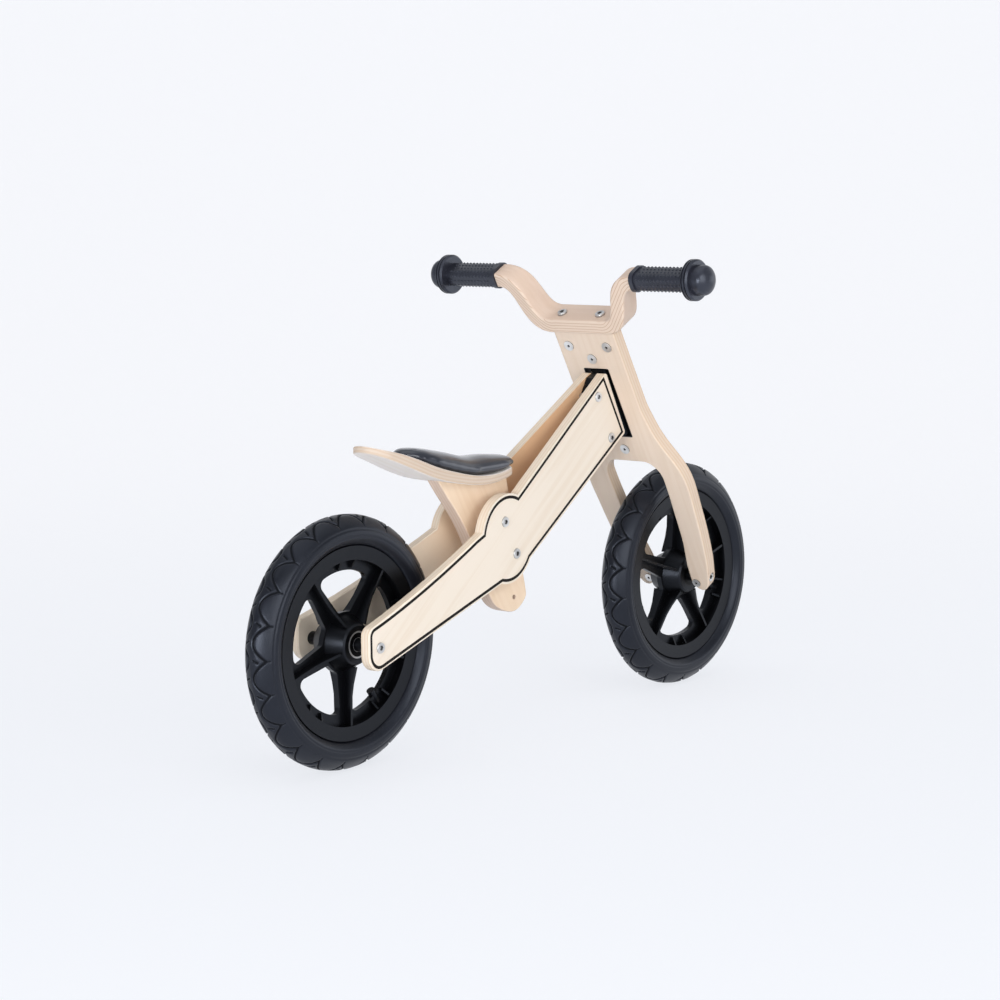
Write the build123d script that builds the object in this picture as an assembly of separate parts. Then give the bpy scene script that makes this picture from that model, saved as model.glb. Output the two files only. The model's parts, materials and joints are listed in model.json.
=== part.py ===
"""Wooden balance bike: two plywood side plates, a plywood fork plate, two 12 inch wheels.

Units are mm. +X is forward, +Y is left, +Z is up; the origin is on the ground, midway
between the two axles.
"""
import math
import os

from build123d import *

os.makedirs("parts", exist_ok=True)

# Tyres and inner tubes; a share runs from the rim's seam at 0 to the crown at 1
WHEELBASE = 652.0
TYRE_RADIUS = 149.0
TYRE_HALF_WIDTH = 22.0
TYRE_WALL = 3.6
TYRE_SEAM_GAP = 0.4
TYRE_FLANK = ((0.073, 5.5), (0.284, 0.0), (0.593, 1.6), (0.817, 7.6), (0.961, 14.5))
TYRE_INSIDE = ((0.112, 9.4), (0.284, 3.6), (0.565, 5.2), (0.733, 10.0))
TYRE_CROWN_INSIDE = 0.86
TUBE_LOW = 0.059
TUBE_HIGH = 0.733
TUBE_WALL = 2.0
VALVE_RADIUS = 4.0
VALVE_BORE = 1.2
VALVE_REACH = 4.0
VALVE_CAP_RADIUS = 5.0
VALVE_CAP_LENGTH = 12.0
VALVE_CAP_END = 2.0

# Moulded rims: a well ring, a thin web with windows, a fin along each spoke, small ribs
RIM_SEAM_RADIUS = 113.4
RIM_HALF_WIDTH = 15.0
RIM_WELL_RADIUS = 102.0
RIM_WELL_HALF_WIDTH = 11.5
RIM_WALL = 5.0
RIM_SHOULDER_HALF_WIDTH = 14.0
BEAD_GAP = 1.5
RIM_BAND = 12.5
WINDOW_ROOT_RADIUS = 36.0
WINDOW_CORNER = 8.0
WINDOW_ROOT_CORNER = 5.5
WEB_HALF = 3.5
SPOKES = 5
SPOKE_ROOT_WIDTH = 26.0
SPOKE_TIP_WIDTH = 18.0
FIN_THICKNESS = 3.2
FIN_EDGE = ((27.0, 22.0), (48.0, 16.0), (62.0, 13.6))
FIN_RIM_HALF = 13.0
RIB_THICKNESS = 2.4
RIB_STEP = 14.0
RIB_LOW_HALF = 6.0
HUB_RADIUS = 24.0
HUB_FOOT_RADIUS = 33.0
HUB_HALF_WIDTH = 25.0
HUB_EDGE = 2.0
HUB_BORE_RADIUS = 10.5
REAR_SPOKE_ANGLE = -90.0
FRONT_SPOKE_ANGLE = -55.0

# Ball bearings and axles
BEARING_RADIUS = 16.0
BEARING_WIDTH = 10.0
BEARING_RACE_RADIUS = 9.5
RUNNING_GAP = 0.05
AXLE_RADIUS = 6.0
SPACER_RADIUS = 8.0
AXLE_BOLT_RADIUS = 3.0
AXLE_BOLT_LENGTH = 30.0
FRONT_BOLT_GRIP = 16.0
BOLT_HEAD_RADIUS = 6.4
BOLT_HEAD_HEIGHT = 3.2
HEX_ACROSS = 6.4
HEX_DEPTH = 2.4

# Side plates, drawn from the rear axle: along the plate and up
PLATE_THICKNESS = 12.0
PLATE_EDGE_RADIUS = 1.5
PLATE_HALF_GAP = 47.5
HEAD_HALF_GAP = 7.0
REAR_TOP = (-22.0, 23.0)
REAR_BOTTOM = (-22.0, -33.0)
REAR_TOP_CORNER = 12.0
REAR_BOTTOM_CORNER = 20.0
ARM_TOP_MID = (94.0, 62.6)
ARM_TOP_END = (230.0, 120.0)
ARM_BOTTOM_END = (260.0, 45.3)
BUMP_CENTRE = (257.5, 94.5)
BUMP_RADIUS = 55.5
UPPER_TOP_END = (258.0, 132.7)
UPPER_BOTTOM_END = (285.0, 52.8)
PLATE_FRONT_CORNER = 4.0
FORK_FRONT_GAP = 4.0
PLATE_NOSE_UPPER = 2.5
PLATE_NOSE_LOWER = 10.5
PLATE_NOSE_BACK = 0.5
SEAT_DEPTH = 1.2
SLEEVE_RADIUS = 4.0

# Fork plate, in its own plane: u to the left, w down from the handlebar nuts, n forward
RAKE = 29.5
FORK_THICKNESS = 18.0
FORK_AXLE_DOWN = 368.0
FORK_EDGE_RADIUS = 2.0
FORK_TOP = -23.0
FORK_TOP_HALF = 48.0
FORK_WAIST = 90.0
FORK_OUTSIDE = (
    (50.5, 112.0),
    (55.0, 134.0),
    (63.0, 156.0),
    (72.0, 175.0),
    (79.0, 195.0),
    (81.0, 218.0),
    (79.0, 246.0),
    (76.0, 282.0),
    (70.0, 328.0),
)
FORK_TIP_START = (63.8, 356.0)
FORK_TIP = ((57.5, 375.5), (46.0, 386.0), (34.5, 380.0))
FORK_TIP_END = 364.0
FORK_INSIDE = ((33.5, 344.0), (39.0, 312.0), (41.5, 285.0), (43.2, 252.0))
SLOT_HALF_WIDTH = 20.0
SLOT_TOP = 33.5
SLOT_BOTTOM = 139.5
SLOT_CORNER = 2.0
LINER_WALL = 1.6
ARCH_TOP = 178.5
ARCH_DEPTH = 27.5
ARCH_HALF_FLAT = 20.0
ARCH_HALF_WIDTH = 45.0
ARCH_CORNER = (7.0, 8.5)
LEG_INNER_AT_AXLE = 32.0
FRONT_BOLT_SEAT = 56.0
TIP_DOWEL = (39.5, 373.5)
TIP_DOWEL_RADIUS = 4.4
TIP_DOWEL_LENGTH = 5.0
BARREL_NUT_RADIUS = 5.0
BARREL_NUT_LENGTH = 15.0
CAP_RADIUS = 7.0
TIP_CAP_RADIUS = 6.0
CAP_HEIGHT = 1.3
CAP_SOCKET_RADIUS = 1.8
CAP_SOCKET_DEPTH = 1.5

# Handlebar and grips
BAR_WIDTH = 40.0
BAR_THICKNESS = 20.0
BAR_EDGE_RADIUS = 3.0
BAR_END_WIDTH = 28.0
BAR_RISE = 65.0
BAR_FLAT_HALF = 43.0
BAR_BEND_END = 107.0
BAR_SHIFT = 3.7
BAR_NECK = 90.0
BAR_NECK_REAR = 1.0
BAR_NECK_FRONT = 1.5
BAR_BOLT_OFFSET = 30.5
BAR_BOLT_SHANK = 3.0
BAR_BOLT_PAST_NUT = 8.0
TENON_WIDTH = 22.0
TENON_THICKNESS = 14.0
TENON_START = 108.0
TENON_END = 192.0
TENON_CORNER = 4.0
GRIP_WIDTH = 30.0
GRIP_THICKNESS = 24.0
GRIP_CORNER = 9.0
COLLAR_LENGTH = 6.0
COLLAR_RISE = 2.0
FLANGE_RADIUS = 25.5
FLANGE_CENTRE = 196.0
FLANGE_THICKNESS = 11.0
FLANGE_EDGE = 2.0
FLANGE_GROOVE_HALF = 0.7
FLANGE_GROOVE_DEPTH = 2.0
FLANGE_GROOVE_OFFSET = 2.1
DOME_RADIUS = 18.8
DOME_LENGTH = 13.0
GRIP_END = 222.0

# Head block and steering pivot
BARREL_RADIUS = 13.4
PIVOT_RADIUS = 4.0
BUSH_RADIUS = 6.5
BUSH_LENGTH = 24.0
BUSH_END_GAP = 2.0
WASHER_RADIUS = 11.0
WASHER_GAP = 0.5
WASHER_THICKNESS = 1.4
UPPER_NUT_DOWN = 19.0
LOWER_NUT_DOWN = 159.0
HEAD_BOLT_BACK = 35.0
HEAD_BOLT_UPPER = 53.0
HEAD_BOLT_LOWER = 116.0
TONGUE_TOP = 38.0
TONGUE_BOTTOM = 123.0
TONGUE_BACK = 52.0
TONGUE_SLOPE = (16.0, 24.0)

# Seat pieces, drawn from the rear axle: forward and up
POST_HALF_THICKNESS = 9.0
POST_EDGE_RADIUS = 2.0
SEAT_BOLTS = ((250.0, 116.0), (274.0, 74.3))
PACKER_RADIUS = 13.0
SPARE_HOLE = (300.7, 14.2)
SPARE_HOLE_RADIUS = 3.0
POST_TOP_REAR = (151.3, 184.0)
POST_BACK_TOP = (163.0, 168.6)
POST_BACK = ((199.5, 124.0), (223.0, 87.0))
POST_BACK_FOOT = (250.8, 27.0)
POST_FOOT = ((264.0, 9.0), (287.0, -2.2), (308.3, -2.2), (324.0, 11.0))
POST_FRONT_FOOT = (323.0, 29.0)
POST_TOP_FRONT = (284.0, 181.0)
SHELL_REAR = 36.0
SHELL_FRONT = 293.5
SHELL_FRONT_CORNER = 9.0
SHELL_EDGE_RADIUS = 2.0
SHELL_PROFILE = (
    (32.0, 218.5, 9.0),
    (49.0, 211.5, 9.5),
    (70.0, 203.5, 12.0),
    (103.0, 190.5, 14.5),
    (138.0, 178.0, 14.5),
    (176.0, 169.5, 13.0),
    (213.0, 164.3, 11.2),
    (256.0, 165.0, 10.0),
    (290.0, 170.8, 9.5),
    (309.0, 175.0, 9.0),
)
SHELL_FLANK = (
    (64.0, 27.5),
    (111.0, 31.0),
    (156.0, 31.0),
    (196.0, 30.5),
    (236.0, 29.0),
    (262.0, 26.6),
    (282.0, 22.8),
)
CUSHION_ROWS = (
    (98.0, 10.0, 213.5, 5.0),
    (107.0, 17.0, 217.0, 7.0),
    (121.0, 24.0, 216.5, 9.0),
    (139.0, 28.0, 213.5, 11.0),
    (175.0, 29.0, 205.5, 12.0),
    (211.0, 28.5, 197.5, 11.0),
    (249.0, 26.5, 196.5, 11.0),
    (276.0, 24.5, 195.0, 8.5),
    (286.0, 22.5, 194.2, 7.5),
    (293.0, 19.5, 193.0, 6.5),
)
CUSHION_CROWN = 2.6
CUSHION_FOOT_SHARE = 0.92
CUSHION_CROWN_SHARE = 0.62
SEAT_SCREWS = ((210.0, 170.5), (254.0, 169.5))
SEAT_SCREW_HEAD = 5.0
SEAT_SCREW_HEAD_HEIGHT = 2.5
SEAT_SCREW_LENGTH = 40.0
SEAT_SCREW_RADIUS = 2.5

REAR_X = -WHEELBASE / 2
FRONT_X = WHEELBASE / 2
RAKE_SIN = math.sin(math.radians(RAKE))
RAKE_COS = math.cos(math.radians(RAKE))
FORK_MID = FORK_THICKNESS / 2
RIM_SHOULDER_RADIUS = RIM_WELL_RADIUS - RIM_WALL
WINDOW_RADIUS = RIM_SHOULDER_RADIUS - RIM_BAND

fork_origin = (
    FRONT_X - RAKE_SIN * FORK_AXLE_DOWN - RAKE_COS * FORK_MID,
    0.0,
    TYRE_RADIUS + RAKE_COS * FORK_AXLE_DOWN - RAKE_SIN * FORK_MID,
)
fork_plane = Plane(origin=fork_origin, x_dir=(0, 1, 0), z_dir=(RAKE_COS, 0, RAKE_SIN))
fork_at = fork_plane.location
toe = math.atan2(PLATE_HALF_GAP - HEAD_HALF_GAP, fork_origin[0] - REAR_X)
plate_plane = Plane(
    origin=(REAR_X, -PLATE_HALF_GAP, TYRE_RADIUS),
    x_dir=(math.cos(toe), math.sin(toe), 0),
    z_dir=(math.sin(toe), -math.cos(toe), 0),
)
rear_axle_at = Pos(REAR_X, 0, TYRE_RADIUS)
clear_through = 2 * FORK_AXLE_DOWN


def fork_point(n, w):
    """X and Z of a point of the fork's centre plane."""
    x = fork_origin[0] + RAKE_SIN * w + RAKE_COS * n
    z = fork_origin[2] - RAKE_COS * w + RAKE_SIN * n
    return x, z


def plate_inside(x):
    """Half the clear gap between the side plates at x."""
    return PLATE_HALF_GAP - (x - REAR_X) * math.tan(toe)


def from_rear_axle(point):
    """X and Z of a point given from the rear axle."""
    return REAR_X + point[0], TYRE_RADIUS + point[1]


def save(name, *solids):
    """Writes one node; identical fasteners share it as separate solids."""
    found = [s for part in solids for s in part.solids()]
    shape = found[0] if len(found) == 1 else Compound(found)
    export_step(shape, f"parts/{name}.step")


def along_y(x, z, y0, y1, radius):
    """Cylinder along Y."""
    return Pos(x, (y0 + y1) / 2, z) * Rot(90, 0, 0) * Cylinder(radius, abs(y1 - y0))


def through_y(x, z, radius):
    """Cylinder along Y, longer than the bike is wide."""
    return along_y(x, z, -clear_through, clear_through, radius)


def along_w(u, n, w0, w1, radius):
    """Cylinder along the fork's length."""
    return fork_at * Pos(u, -(w0 + w1) / 2, n) * Rot(90, 0, 0) * Cylinder(radius, abs(w1 - w0))


def along_n(u, w, n0, n1, radius):
    """Cylinder through the fork's thickness."""
    return fork_at * Pos(u, -w, (n0 + n1) / 2) * Cylinder(radius, abs(n1 - n0))


def hex_socket(depth):
    """Hexagonal recess below the XY plane."""
    return extrude(RegularPolygon(HEX_ACROSS / 2, 6), -depth)


def bolt(shank_radius, length, head_radius, head_height):
    """Button head bolt: head above the XY plane, shank below it."""
    head = Pos(0, 0, head_height / 2) * Cylinder(head_radius, head_height)
    head = fillet(head.edges().group_by(Axis.Z)[-1], head_height * 0.4)
    shank = Pos(0, 0, -length / 2) * Cylinder(shank_radius, length)
    return head + shank - Pos(0, 0, head_height) * hex_socket(HEX_DEPTH)


def bolt_y(x, z, y, side, shank_radius, length):
    """Bolt along Y with its head's underside at y; side -1 is the right."""
    turn = Rot(90, 0, 0) if side < 0 else Rot(-90, 0, 0)
    return Pos(x, y, z) * turn * bolt(shank_radius, length, BOLT_HEAD_RADIUS, BOLT_HEAD_HEIGHT)


def capped_pin(u, w, length, radius, cap_radius):
    """Pin from the fork's rear face forward, with a flat cap and a small socket in it."""
    pin = along_n(u, w, 0, length, radius) + along_n(u, w, -CAP_HEIGHT, 0, cap_radius)
    return pin - along_n(u, w, -CAP_HEIGHT, CAP_SOCKET_DEPTH, CAP_SOCKET_RADIUS)


def mirrored(part):
    """The same piece on the other side of the bike."""
    return mirror(part, about=Plane.XZ)


def both_hands(points):
    """Radius, y points followed by their mirror images, without doubling the ends."""
    return list(points) + [(r, -y) for r, y in reversed(points[1:-1])]


def revolved(points):
    """Ring about the Y axis from radius, y points."""
    return revolve(make_face(Polyline(*points, close=True)), Axis.Y)


# Wheel, built about the origin with its axle along Y and the first spoke along X
def window_face():
    """One window between two spokes, centred on the X direction."""
    half_pitch = math.radians(180 / SPOKES)
    along = (math.cos(half_pitch), math.sin(half_pitch))
    corners = []
    for radius, width in ((WINDOW_ROOT_RADIUS, SPOKE_ROOT_WIDTH), (WINDOW_RADIUS, SPOKE_TIP_WIDTH)):
        reach = math.sqrt(radius**2 - (width / 2) ** 2)
        x = along[0] * reach + along[1] * width / 2
        y = along[1] * reach - along[0] * width / 2
        corners.append((x, y))
    root, tip = corners
    root_low = (root[0], -root[1])
    tip_low = (tip[0], -tip[1])
    window = make_face(
        [
            Line(root_low, tip_low),
            ThreePointArc(tip_low, (WINDOW_RADIUS, 0), tip),
            Line(tip, root),
            ThreePointArc(root, (WINDOW_ROOT_RADIUS, 0), root_low),
        ]
    )
    window = fillet(window.vertices().sort_by(Axis.X)[-2:], WINDOW_CORNER)
    return fillet(window.vertices().sort_by(Axis.X)[:2], WINDOW_ROOT_CORNER)


def radial_plate(edge, thickness):
    """Flat plate in the XY plane between an edge of radius, y points and its mirror image."""
    outline = list(edge) + [(r, -y) for r, y in reversed(edge)]
    return extrude(make_face(Polyline(*outline, close=True)), thickness / 2, both=True)


def wheel_rim():
    into_ring = (RIM_SHOULDER_RADIUS + RIM_WELL_RADIUS) / 2
    web = revolved(
        both_hands(
            [
                (HUB_BORE_RADIUS, 0),
                (HUB_BORE_RADIUS, HUB_HALF_WIDTH),
                (HUB_RADIUS - HUB_EDGE, HUB_HALF_WIDTH),
                (HUB_RADIUS, HUB_HALF_WIDTH - HUB_EDGE),
                (HUB_FOOT_RADIUS, WEB_HALF),
                (into_ring, WEB_HALF),
                (into_ring, 0),
            ]
        )
    )
    window = extrude(Plane.XZ * window_face(), HUB_HALF_WIDTH, both=True)
    fin = radial_plate([*FIN_EDGE, (into_ring, FIN_RIM_HALF)], FIN_THICKNESS)
    rib_edge = [(WINDOW_RADIUS + RIB_THICKNESS, RIB_LOW_HALF), (into_ring, FIN_RIM_HALF)]
    rib = radial_plate(rib_edge, RIB_THICKNESS)
    rim = revolved(
        both_hands(
            [
                (RIM_SHOULDER_RADIUS, 0),
                (RIM_SHOULDER_RADIUS, RIM_SHOULDER_HALF_WIDTH),
                (RIM_SEAM_RADIUS, RIM_HALF_WIDTH),
                (RIM_SEAM_RADIUS, RIM_WELL_HALF_WIDTH),
                (RIM_WELL_RADIUS, RIM_WELL_HALF_WIDTH),
                (RIM_WELL_RADIUS, 0),
            ]
        )
    )
    for k in range(SPOKES):
        web -= Rot(0, -(k + 0.5) * 360 / SPOKES, 0) * window
    rim += web
    for k in range(SPOKES):
        rim += Rot(0, -k * 360 / SPOKES, 0) * fin
        for step in (-0.5, 0.5):
            rim += Rot(0, -(k + 0.5) * 360 / SPOKES - step * RIB_STEP, 0) * rib
    for side in (-1, 1):
        seat = side * (HUB_HALF_WIDTH - BEARING_WIDTH)
        rim -= along_y(0, 0, seat, side * 2 * HUB_HALF_WIDTH, BEARING_RADIUS)
    bore = along_y(0, 0, -HUB_HALF_WIDTH, HUB_HALF_WIDTH, HUB_BORE_RADIUS)
    return rim - bore - radial(WINDOW_ROOT_RADIUS, RIM_SEAM_RADIUS, VALVE_RADIUS)


def tyre_radius_at(share):
    return RIM_SEAM_RADIUS + share * (TYRE_RADIUS - RIM_SEAM_RADIUS)


def wheel_tyre():
    seam = RIM_SEAM_RADIUS + TYRE_SEAM_GAP
    bead = RIM_WELL_RADIUS + BEAD_GAP
    bead_out = RIM_WELL_HALF_WIDTH
    bead_in = RIM_WELL_HALF_WIDTH - TYRE_WALL
    outside = [(seam, bead_out)]
    outside += [(tyre_radius_at(share), TYRE_HALF_WIDTH - inset) for share, inset in TYRE_FLANK]
    outside.append((TYRE_RADIUS, 0))
    inside = [(seam, bead_in)]
    inside += [(tyre_radius_at(share), TYRE_HALF_WIDTH - inset) for share, inset in TYRE_INSIDE]
    inside.append((tyre_radius_at(TYRE_CROWN_INSIDE), 0))
    outside += [(r, -y) for r, y in reversed(outside[:-1])]
    inside += [(r, -y) for r, y in reversed(inside[:-1])]
    outline = [
        Line((bead, bead_out), (seam, bead_out)),
        Spline(*outside),
        Line((seam, -bead_out), (bead, -bead_out)),
        Line((bead, -bead_out), (bead, -bead_in)),
        Line((bead, -bead_in), (seam, -bead_in)),
        Spline(*reversed(inside)),
        Line((seam, bead_in), (bead, bead_in)),
        Line((bead, bead_in), (bead, bead_out)),
    ]
    return revolve(make_face(outline), Axis.Y)


def radial(r0, r1, radius):
    """Cylinder along the wheel's valve direction."""
    middle = Pos((r0 + r1) / 2, 0, 0) * Rot(0, 90, 0) * Cylinder(radius, r1 - r0)
    return Rot(0, -180 / SPOKES, 0) * middle


def tube_and_valve():
    """Inner tube, valve stem and cap."""
    tube_foot = tyre_radius_at(TUBE_LOW)
    tube_section = (tyre_radius_at(TUBE_HIGH) - tube_foot) / 2
    ring = tube_foot + tube_section
    tube = revolve(Pos(ring, 0) * Circle(tube_section), Axis.Y)
    valve_tip = WINDOW_RADIUS - VALVE_REACH
    stem = radial(valve_tip, ring, VALVE_RADIUS) - tube
    bore = radial(valve_tip, ring, VALVE_BORE)
    hollow = revolve(Pos(ring, 0) * Circle(tube_section - TUBE_WALL), Axis.Y)
    cap = radial(valve_tip - VALVE_CAP_END, valve_tip - VALVE_CAP_END + VALVE_CAP_LENGTH, VALVE_CAP_RADIUS)
    cap -= radial(valve_tip, ring, VALVE_RADIUS)
    return tube - hollow - bore, stem - bore, cap


def wheel_parts(prefix, x, spoke_angle):
    place = Pos(x, 0, TYRE_RADIUS) * Rot(0, -spoke_angle, 0)
    tube, stem, cap = tube_and_valve()
    save(prefix + "_rim", place * (wheel_rim() - cap))
    save(prefix + "_tyre", place * wheel_tyre())
    save(prefix + "_inner_tube", place * tube)
    save(prefix + "_valve", place * stem)
    save(prefix + "_valve_cap", place * cap)
    outer_rings = []
    inner_rings = []
    for side in (-1, 1):
        y0 = side * (HUB_HALF_WIDTH - BEARING_WIDTH)
        y1 = side * HUB_HALF_WIDTH
        outer = along_y(x, TYRE_RADIUS, y0, y1, BEARING_RADIUS)
        outer -= through_y(x, TYRE_RADIUS, BEARING_RACE_RADIUS + RUNNING_GAP)
        inner = along_y(x, TYRE_RADIUS, y0, y1, BEARING_RACE_RADIUS)
        inner -= through_y(x, TYRE_RADIUS, AXLE_RADIUS)
        outer_rings.append(outer)
        inner_rings.append(inner)
    save(prefix + "_bearing_outer_rings", *outer_rings)
    save(prefix + "_bearing_inner_rings", *inner_rings)


def axle_parts(prefix, x, seat):
    """Axle and spacers; seat is the half gap that the axle fills."""
    axle = along_y(x, TYRE_RADIUS, -seat, seat, AXLE_RADIUS)
    for side in (-1, 1):
        tapped = side * (seat - AXLE_BOLT_LENGTH)
        axle -= along_y(x, TYRE_RADIUS, tapped, side * 2 * seat, AXLE_BOLT_RADIUS)
    save(prefix + "_axle", axle)
    spacer = along_y(x, TYRE_RADIUS, HUB_HALF_WIDTH, seat, SPACER_RADIUS)
    spacer -= through_y(x, TYRE_RADIUS, AXLE_RADIUS)
    save(prefix + "_axle_spacers", spacer, mirrored(spacer))


wheel_parts("rear", REAR_X, REAR_SPOKE_ANGLE)
wheel_parts("front", FRONT_X, FRONT_SPOKE_ANGLE)


# Side plates: rear arm, upper arm and the round bump at the seat bolts
def plate_nose(w):
    """Point of the plate's front edge, behind the fork."""
    x, z = fork_point(-FORK_FRONT_GAP, w)
    return (x - REAR_X - PLATE_NOSE_BACK) / math.cos(toe), z - TYRE_RADIUS


def plate_hole(solid, x, z, hole_radius, inner_radius, outer_radius):
    """Cross hole along Y through the right plate with flat seats on both faces."""
    inside = -plate_inside(x)
    outside = inside - PLATE_THICKNESS / math.cos(toe)
    solid -= through_y(x, z, hole_radius)
    solid -= along_y(x, z, inside + PLATE_THICKNESS, inside - SEAT_DEPTH, inner_radius)
    solid -= along_y(x, z, outside + SEAT_DEPTH, outside - PLATE_THICKNESS, outer_radius)
    return solid, inside - SEAT_DEPTH, outside + SEAT_DEPTH


rear_arm = make_face(
    [
        ThreePointArc(REAR_TOP, ARM_TOP_MID, ARM_TOP_END),
        Line(ARM_TOP_END, ARM_BOTTOM_END),
        Line(ARM_BOTTOM_END, REAR_BOTTOM),
        Line(REAR_BOTTOM, REAR_TOP),
    ]
)
rear_arm = fillet(rear_arm.vertices().sort_by_distance(REAR_BOTTOM)[0], REAR_BOTTOM_CORNER)
rear_arm = fillet(rear_arm.vertices().sort_by_distance(REAR_TOP)[0], REAR_TOP_CORNER)
nose_upper = plate_nose(SLOT_TOP + PLATE_NOSE_UPPER)
nose_lower = plate_nose(SLOT_BOTTOM - PLATE_NOSE_LOWER)
upper_arm = make_face(Polyline(UPPER_TOP_END, nose_upper, nose_lower, UPPER_BOTTOM_END, close=True))
upper_arm = fillet(upper_arm.vertices().sort_by(Axis.X)[-2:], PLATE_FRONT_CORNER)
plate_face = rear_arm + upper_arm + Pos(*BUMP_CENTRE) * Circle(BUMP_RADIUS)
plate = extrude(plate_plane * plate_face, PLATE_THICKNESS)
plate = fillet(plate.faces().sort_by(Axis.Y)[0].edges(), PLATE_EDGE_RADIUS)

head_points = [
    fork_point(-HEAD_BOLT_BACK, HEAD_BOLT_UPPER),
    fork_point(-HEAD_BOLT_BACK, HEAD_BOLT_LOWER),
]
seat_points = [from_rear_axle(point) for point in SEAT_BOLTS]
plate, rear_inner_seat, rear_outer_seat = plate_hole(
    plate, REAR_X, TYRE_RADIUS, AXLE_BOLT_RADIUS, SPACER_RADIUS, BOLT_HEAD_RADIUS
)
seat_seats = []
for bolt_x, bolt_z in seat_points:
    plate, inner, outer = plate_hole(plate, bolt_x, bolt_z, SLEEVE_RADIUS, PACKER_RADIUS, BOLT_HEAD_RADIUS)
    seat_seats.append((inner, outer))
head_seats = []
for bolt_x, bolt_z in head_points:
    plate, inner, outer = plate_hole(plate, bolt_x, bolt_z, SLEEVE_RADIUS, SLEEVE_RADIUS, BOLT_HEAD_RADIUS)
    head_seats.append((inner, outer))
save("right_side_plate", plate)
save("left_side_plate", mirrored(plate))

# Rear axle between the plates
axle_parts("rear", REAR_X, -rear_inner_seat)
rear_bolt = bolt_y(REAR_X, TYRE_RADIUS, rear_outer_seat, -1, AXLE_BOLT_RADIUS, AXLE_BOLT_LENGTH)
save("rear_axle_bolts", rear_bolt, mirrored(rear_bolt))


def cross_bolts(points, seats):
    """Bolts from the right into sleeve nuts from the left."""
    bolts = []
    sleeves = []
    for (x, z), (inner, outer) in zip(points, seats):
        right_half = bolt_y(x, z, outer, -1, SLEEVE_RADIUS, -outer)
        bolts.append(right_half)
        sleeves.append(mirrored(right_half))
    return bolts, sleeves


seat_bolts, seat_sleeves = cross_bolts(seat_points, seat_seats)
head_bolts, head_sleeves = cross_bolts(head_points, head_seats)
save("seat_bolts", *seat_bolts)
save("seat_sleeve_nuts", *seat_sleeves)
save("head_bolts", *head_bolts)
save("head_sleeve_nuts", *head_sleeves)

# Head block: a barrel in the fork's slot and a wedge tongue between the plates
barrel_top = SLOT_TOP + LINER_WALL + WASHER_GAP + WASHER_THICKNESS
barrel_bottom = SLOT_BOTTOM - LINER_WALL - WASHER_GAP - WASHER_THICKNESS
tongue_nw = [
    (FORK_MID, TONGUE_TOP),
    (-TONGUE_SLOPE[0], TONGUE_TOP),
    (-TONGUE_BACK, TONGUE_TOP + TONGUE_SLOPE[1]),
    (-TONGUE_BACK, TONGUE_BOTTOM),
    (FORK_MID, TONGUE_BOTTOM),
]
tongue_xz = [fork_point(n, w) for n, w in tongue_nw]
tongue = extrude(Plane.XZ * make_face(Polyline(*tongue_xz, close=True)), PLATE_HALF_GAP, both=True)
wedge_rear = fork_point(-TONGUE_BACK, TONGUE_TOP)[0]
wedge_front = fork_point(FORK_MID, TONGUE_BOTTOM)[0]
wedge_plan = [
    (wedge_rear, plate_inside(wedge_rear)),
    (wedge_front, plate_inside(wedge_front)),
    (wedge_front, -plate_inside(wedge_front)),
    (wedge_rear, -plate_inside(wedge_rear)),
]
wedge = extrude(make_face(Polyline(*wedge_plan, close=True)), 2 * fork_origin[2])
head_block = (tongue & wedge) + along_w(0, FORK_MID, barrel_top, barrel_bottom, BARREL_RADIUS)
for x, z in head_points:
    head_block -= through_y(x, z, SLEEVE_RADIUS)
head_block -= along_w(0, FORK_MID, FORK_TOP, barrel_top + BUSH_LENGTH, BUSH_RADIUS)
head_block -= along_w(0, FORK_MID, ARCH_TOP, barrel_bottom - BUSH_LENGTH, BUSH_RADIUS)
save("head_block", head_block)
pivot_gap = along_w(0, FORK_MID, FORK_TOP, ARCH_TOP, PIVOT_RADIUS + RUNNING_GAP)
for name, start, step in (("upper", barrel_top, 1), ("lower", barrel_bottom, -1)):
    bush = along_w(0, FORK_MID, start, start + step * BUSH_LENGTH, BUSH_RADIUS)
    washer = along_w(0, FORK_MID, start - step * WASHER_THICKNESS, start, WASHER_RADIUS)
    save(name + "_steering_bush", bush - pivot_gap)
    save(name + "_thrust_washer", washer - pivot_gap)


# Fork plate
def down(points):
    """Points with w measured down turned into sketch points."""
    return [(u, -w) for u, w in points]


arch_foot = (ARCH_HALF_WIDTH, ARCH_TOP + ARCH_DEPTH)
arch_turn = (ARCH_HALF_WIDTH - ARCH_CORNER[0], ARCH_TOP + ARCH_CORNER[1])
leg_end = (LEG_INNER_AT_AXLE, FORK_TIP_END)
tip_lean = (-0.27, -1)
leg_lean = (0.05, 1)
half_fork = make_face(
    [
        Line((0, -FORK_TOP), (FORK_TOP_HALF, -FORK_TOP)),
        Line((FORK_TOP_HALF, -FORK_TOP), (FORK_TOP_HALF, -FORK_WAIST)),
        Spline(
            *down([(FORK_TOP_HALF, FORK_WAIST), *FORK_OUTSIDE, FORK_TIP_START]),
            tangents=[(0, -1), tip_lean],
        ),
        Spline(*down([FORK_TIP_START, *FORK_TIP, leg_end]), tangents=[tip_lean, leg_lean]),
        Spline(*down([leg_end, *FORK_INSIDE, arch_foot]), tangents=[leg_lean, (0, 1)]),
        Spline(*down([arch_foot, arch_turn, (ARCH_HALF_FLAT, ARCH_TOP)]), tangents=[(0, 1), (-1, 0)]),
        Line((ARCH_HALF_FLAT, -ARCH_TOP), (0, -ARCH_TOP)),
        Line((0, -ARCH_TOP), (0, -FORK_TOP)),
    ]
)
half_plate = extrude(fork_plane * half_fork, FORK_THICKNESS)
broad_faces = half_plate.faces().sort_by(Axis(fork_origin, fork_plane.z_dir))
fork_edges = broad_faces[0].edges() + broad_faces[-1].edges()
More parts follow.
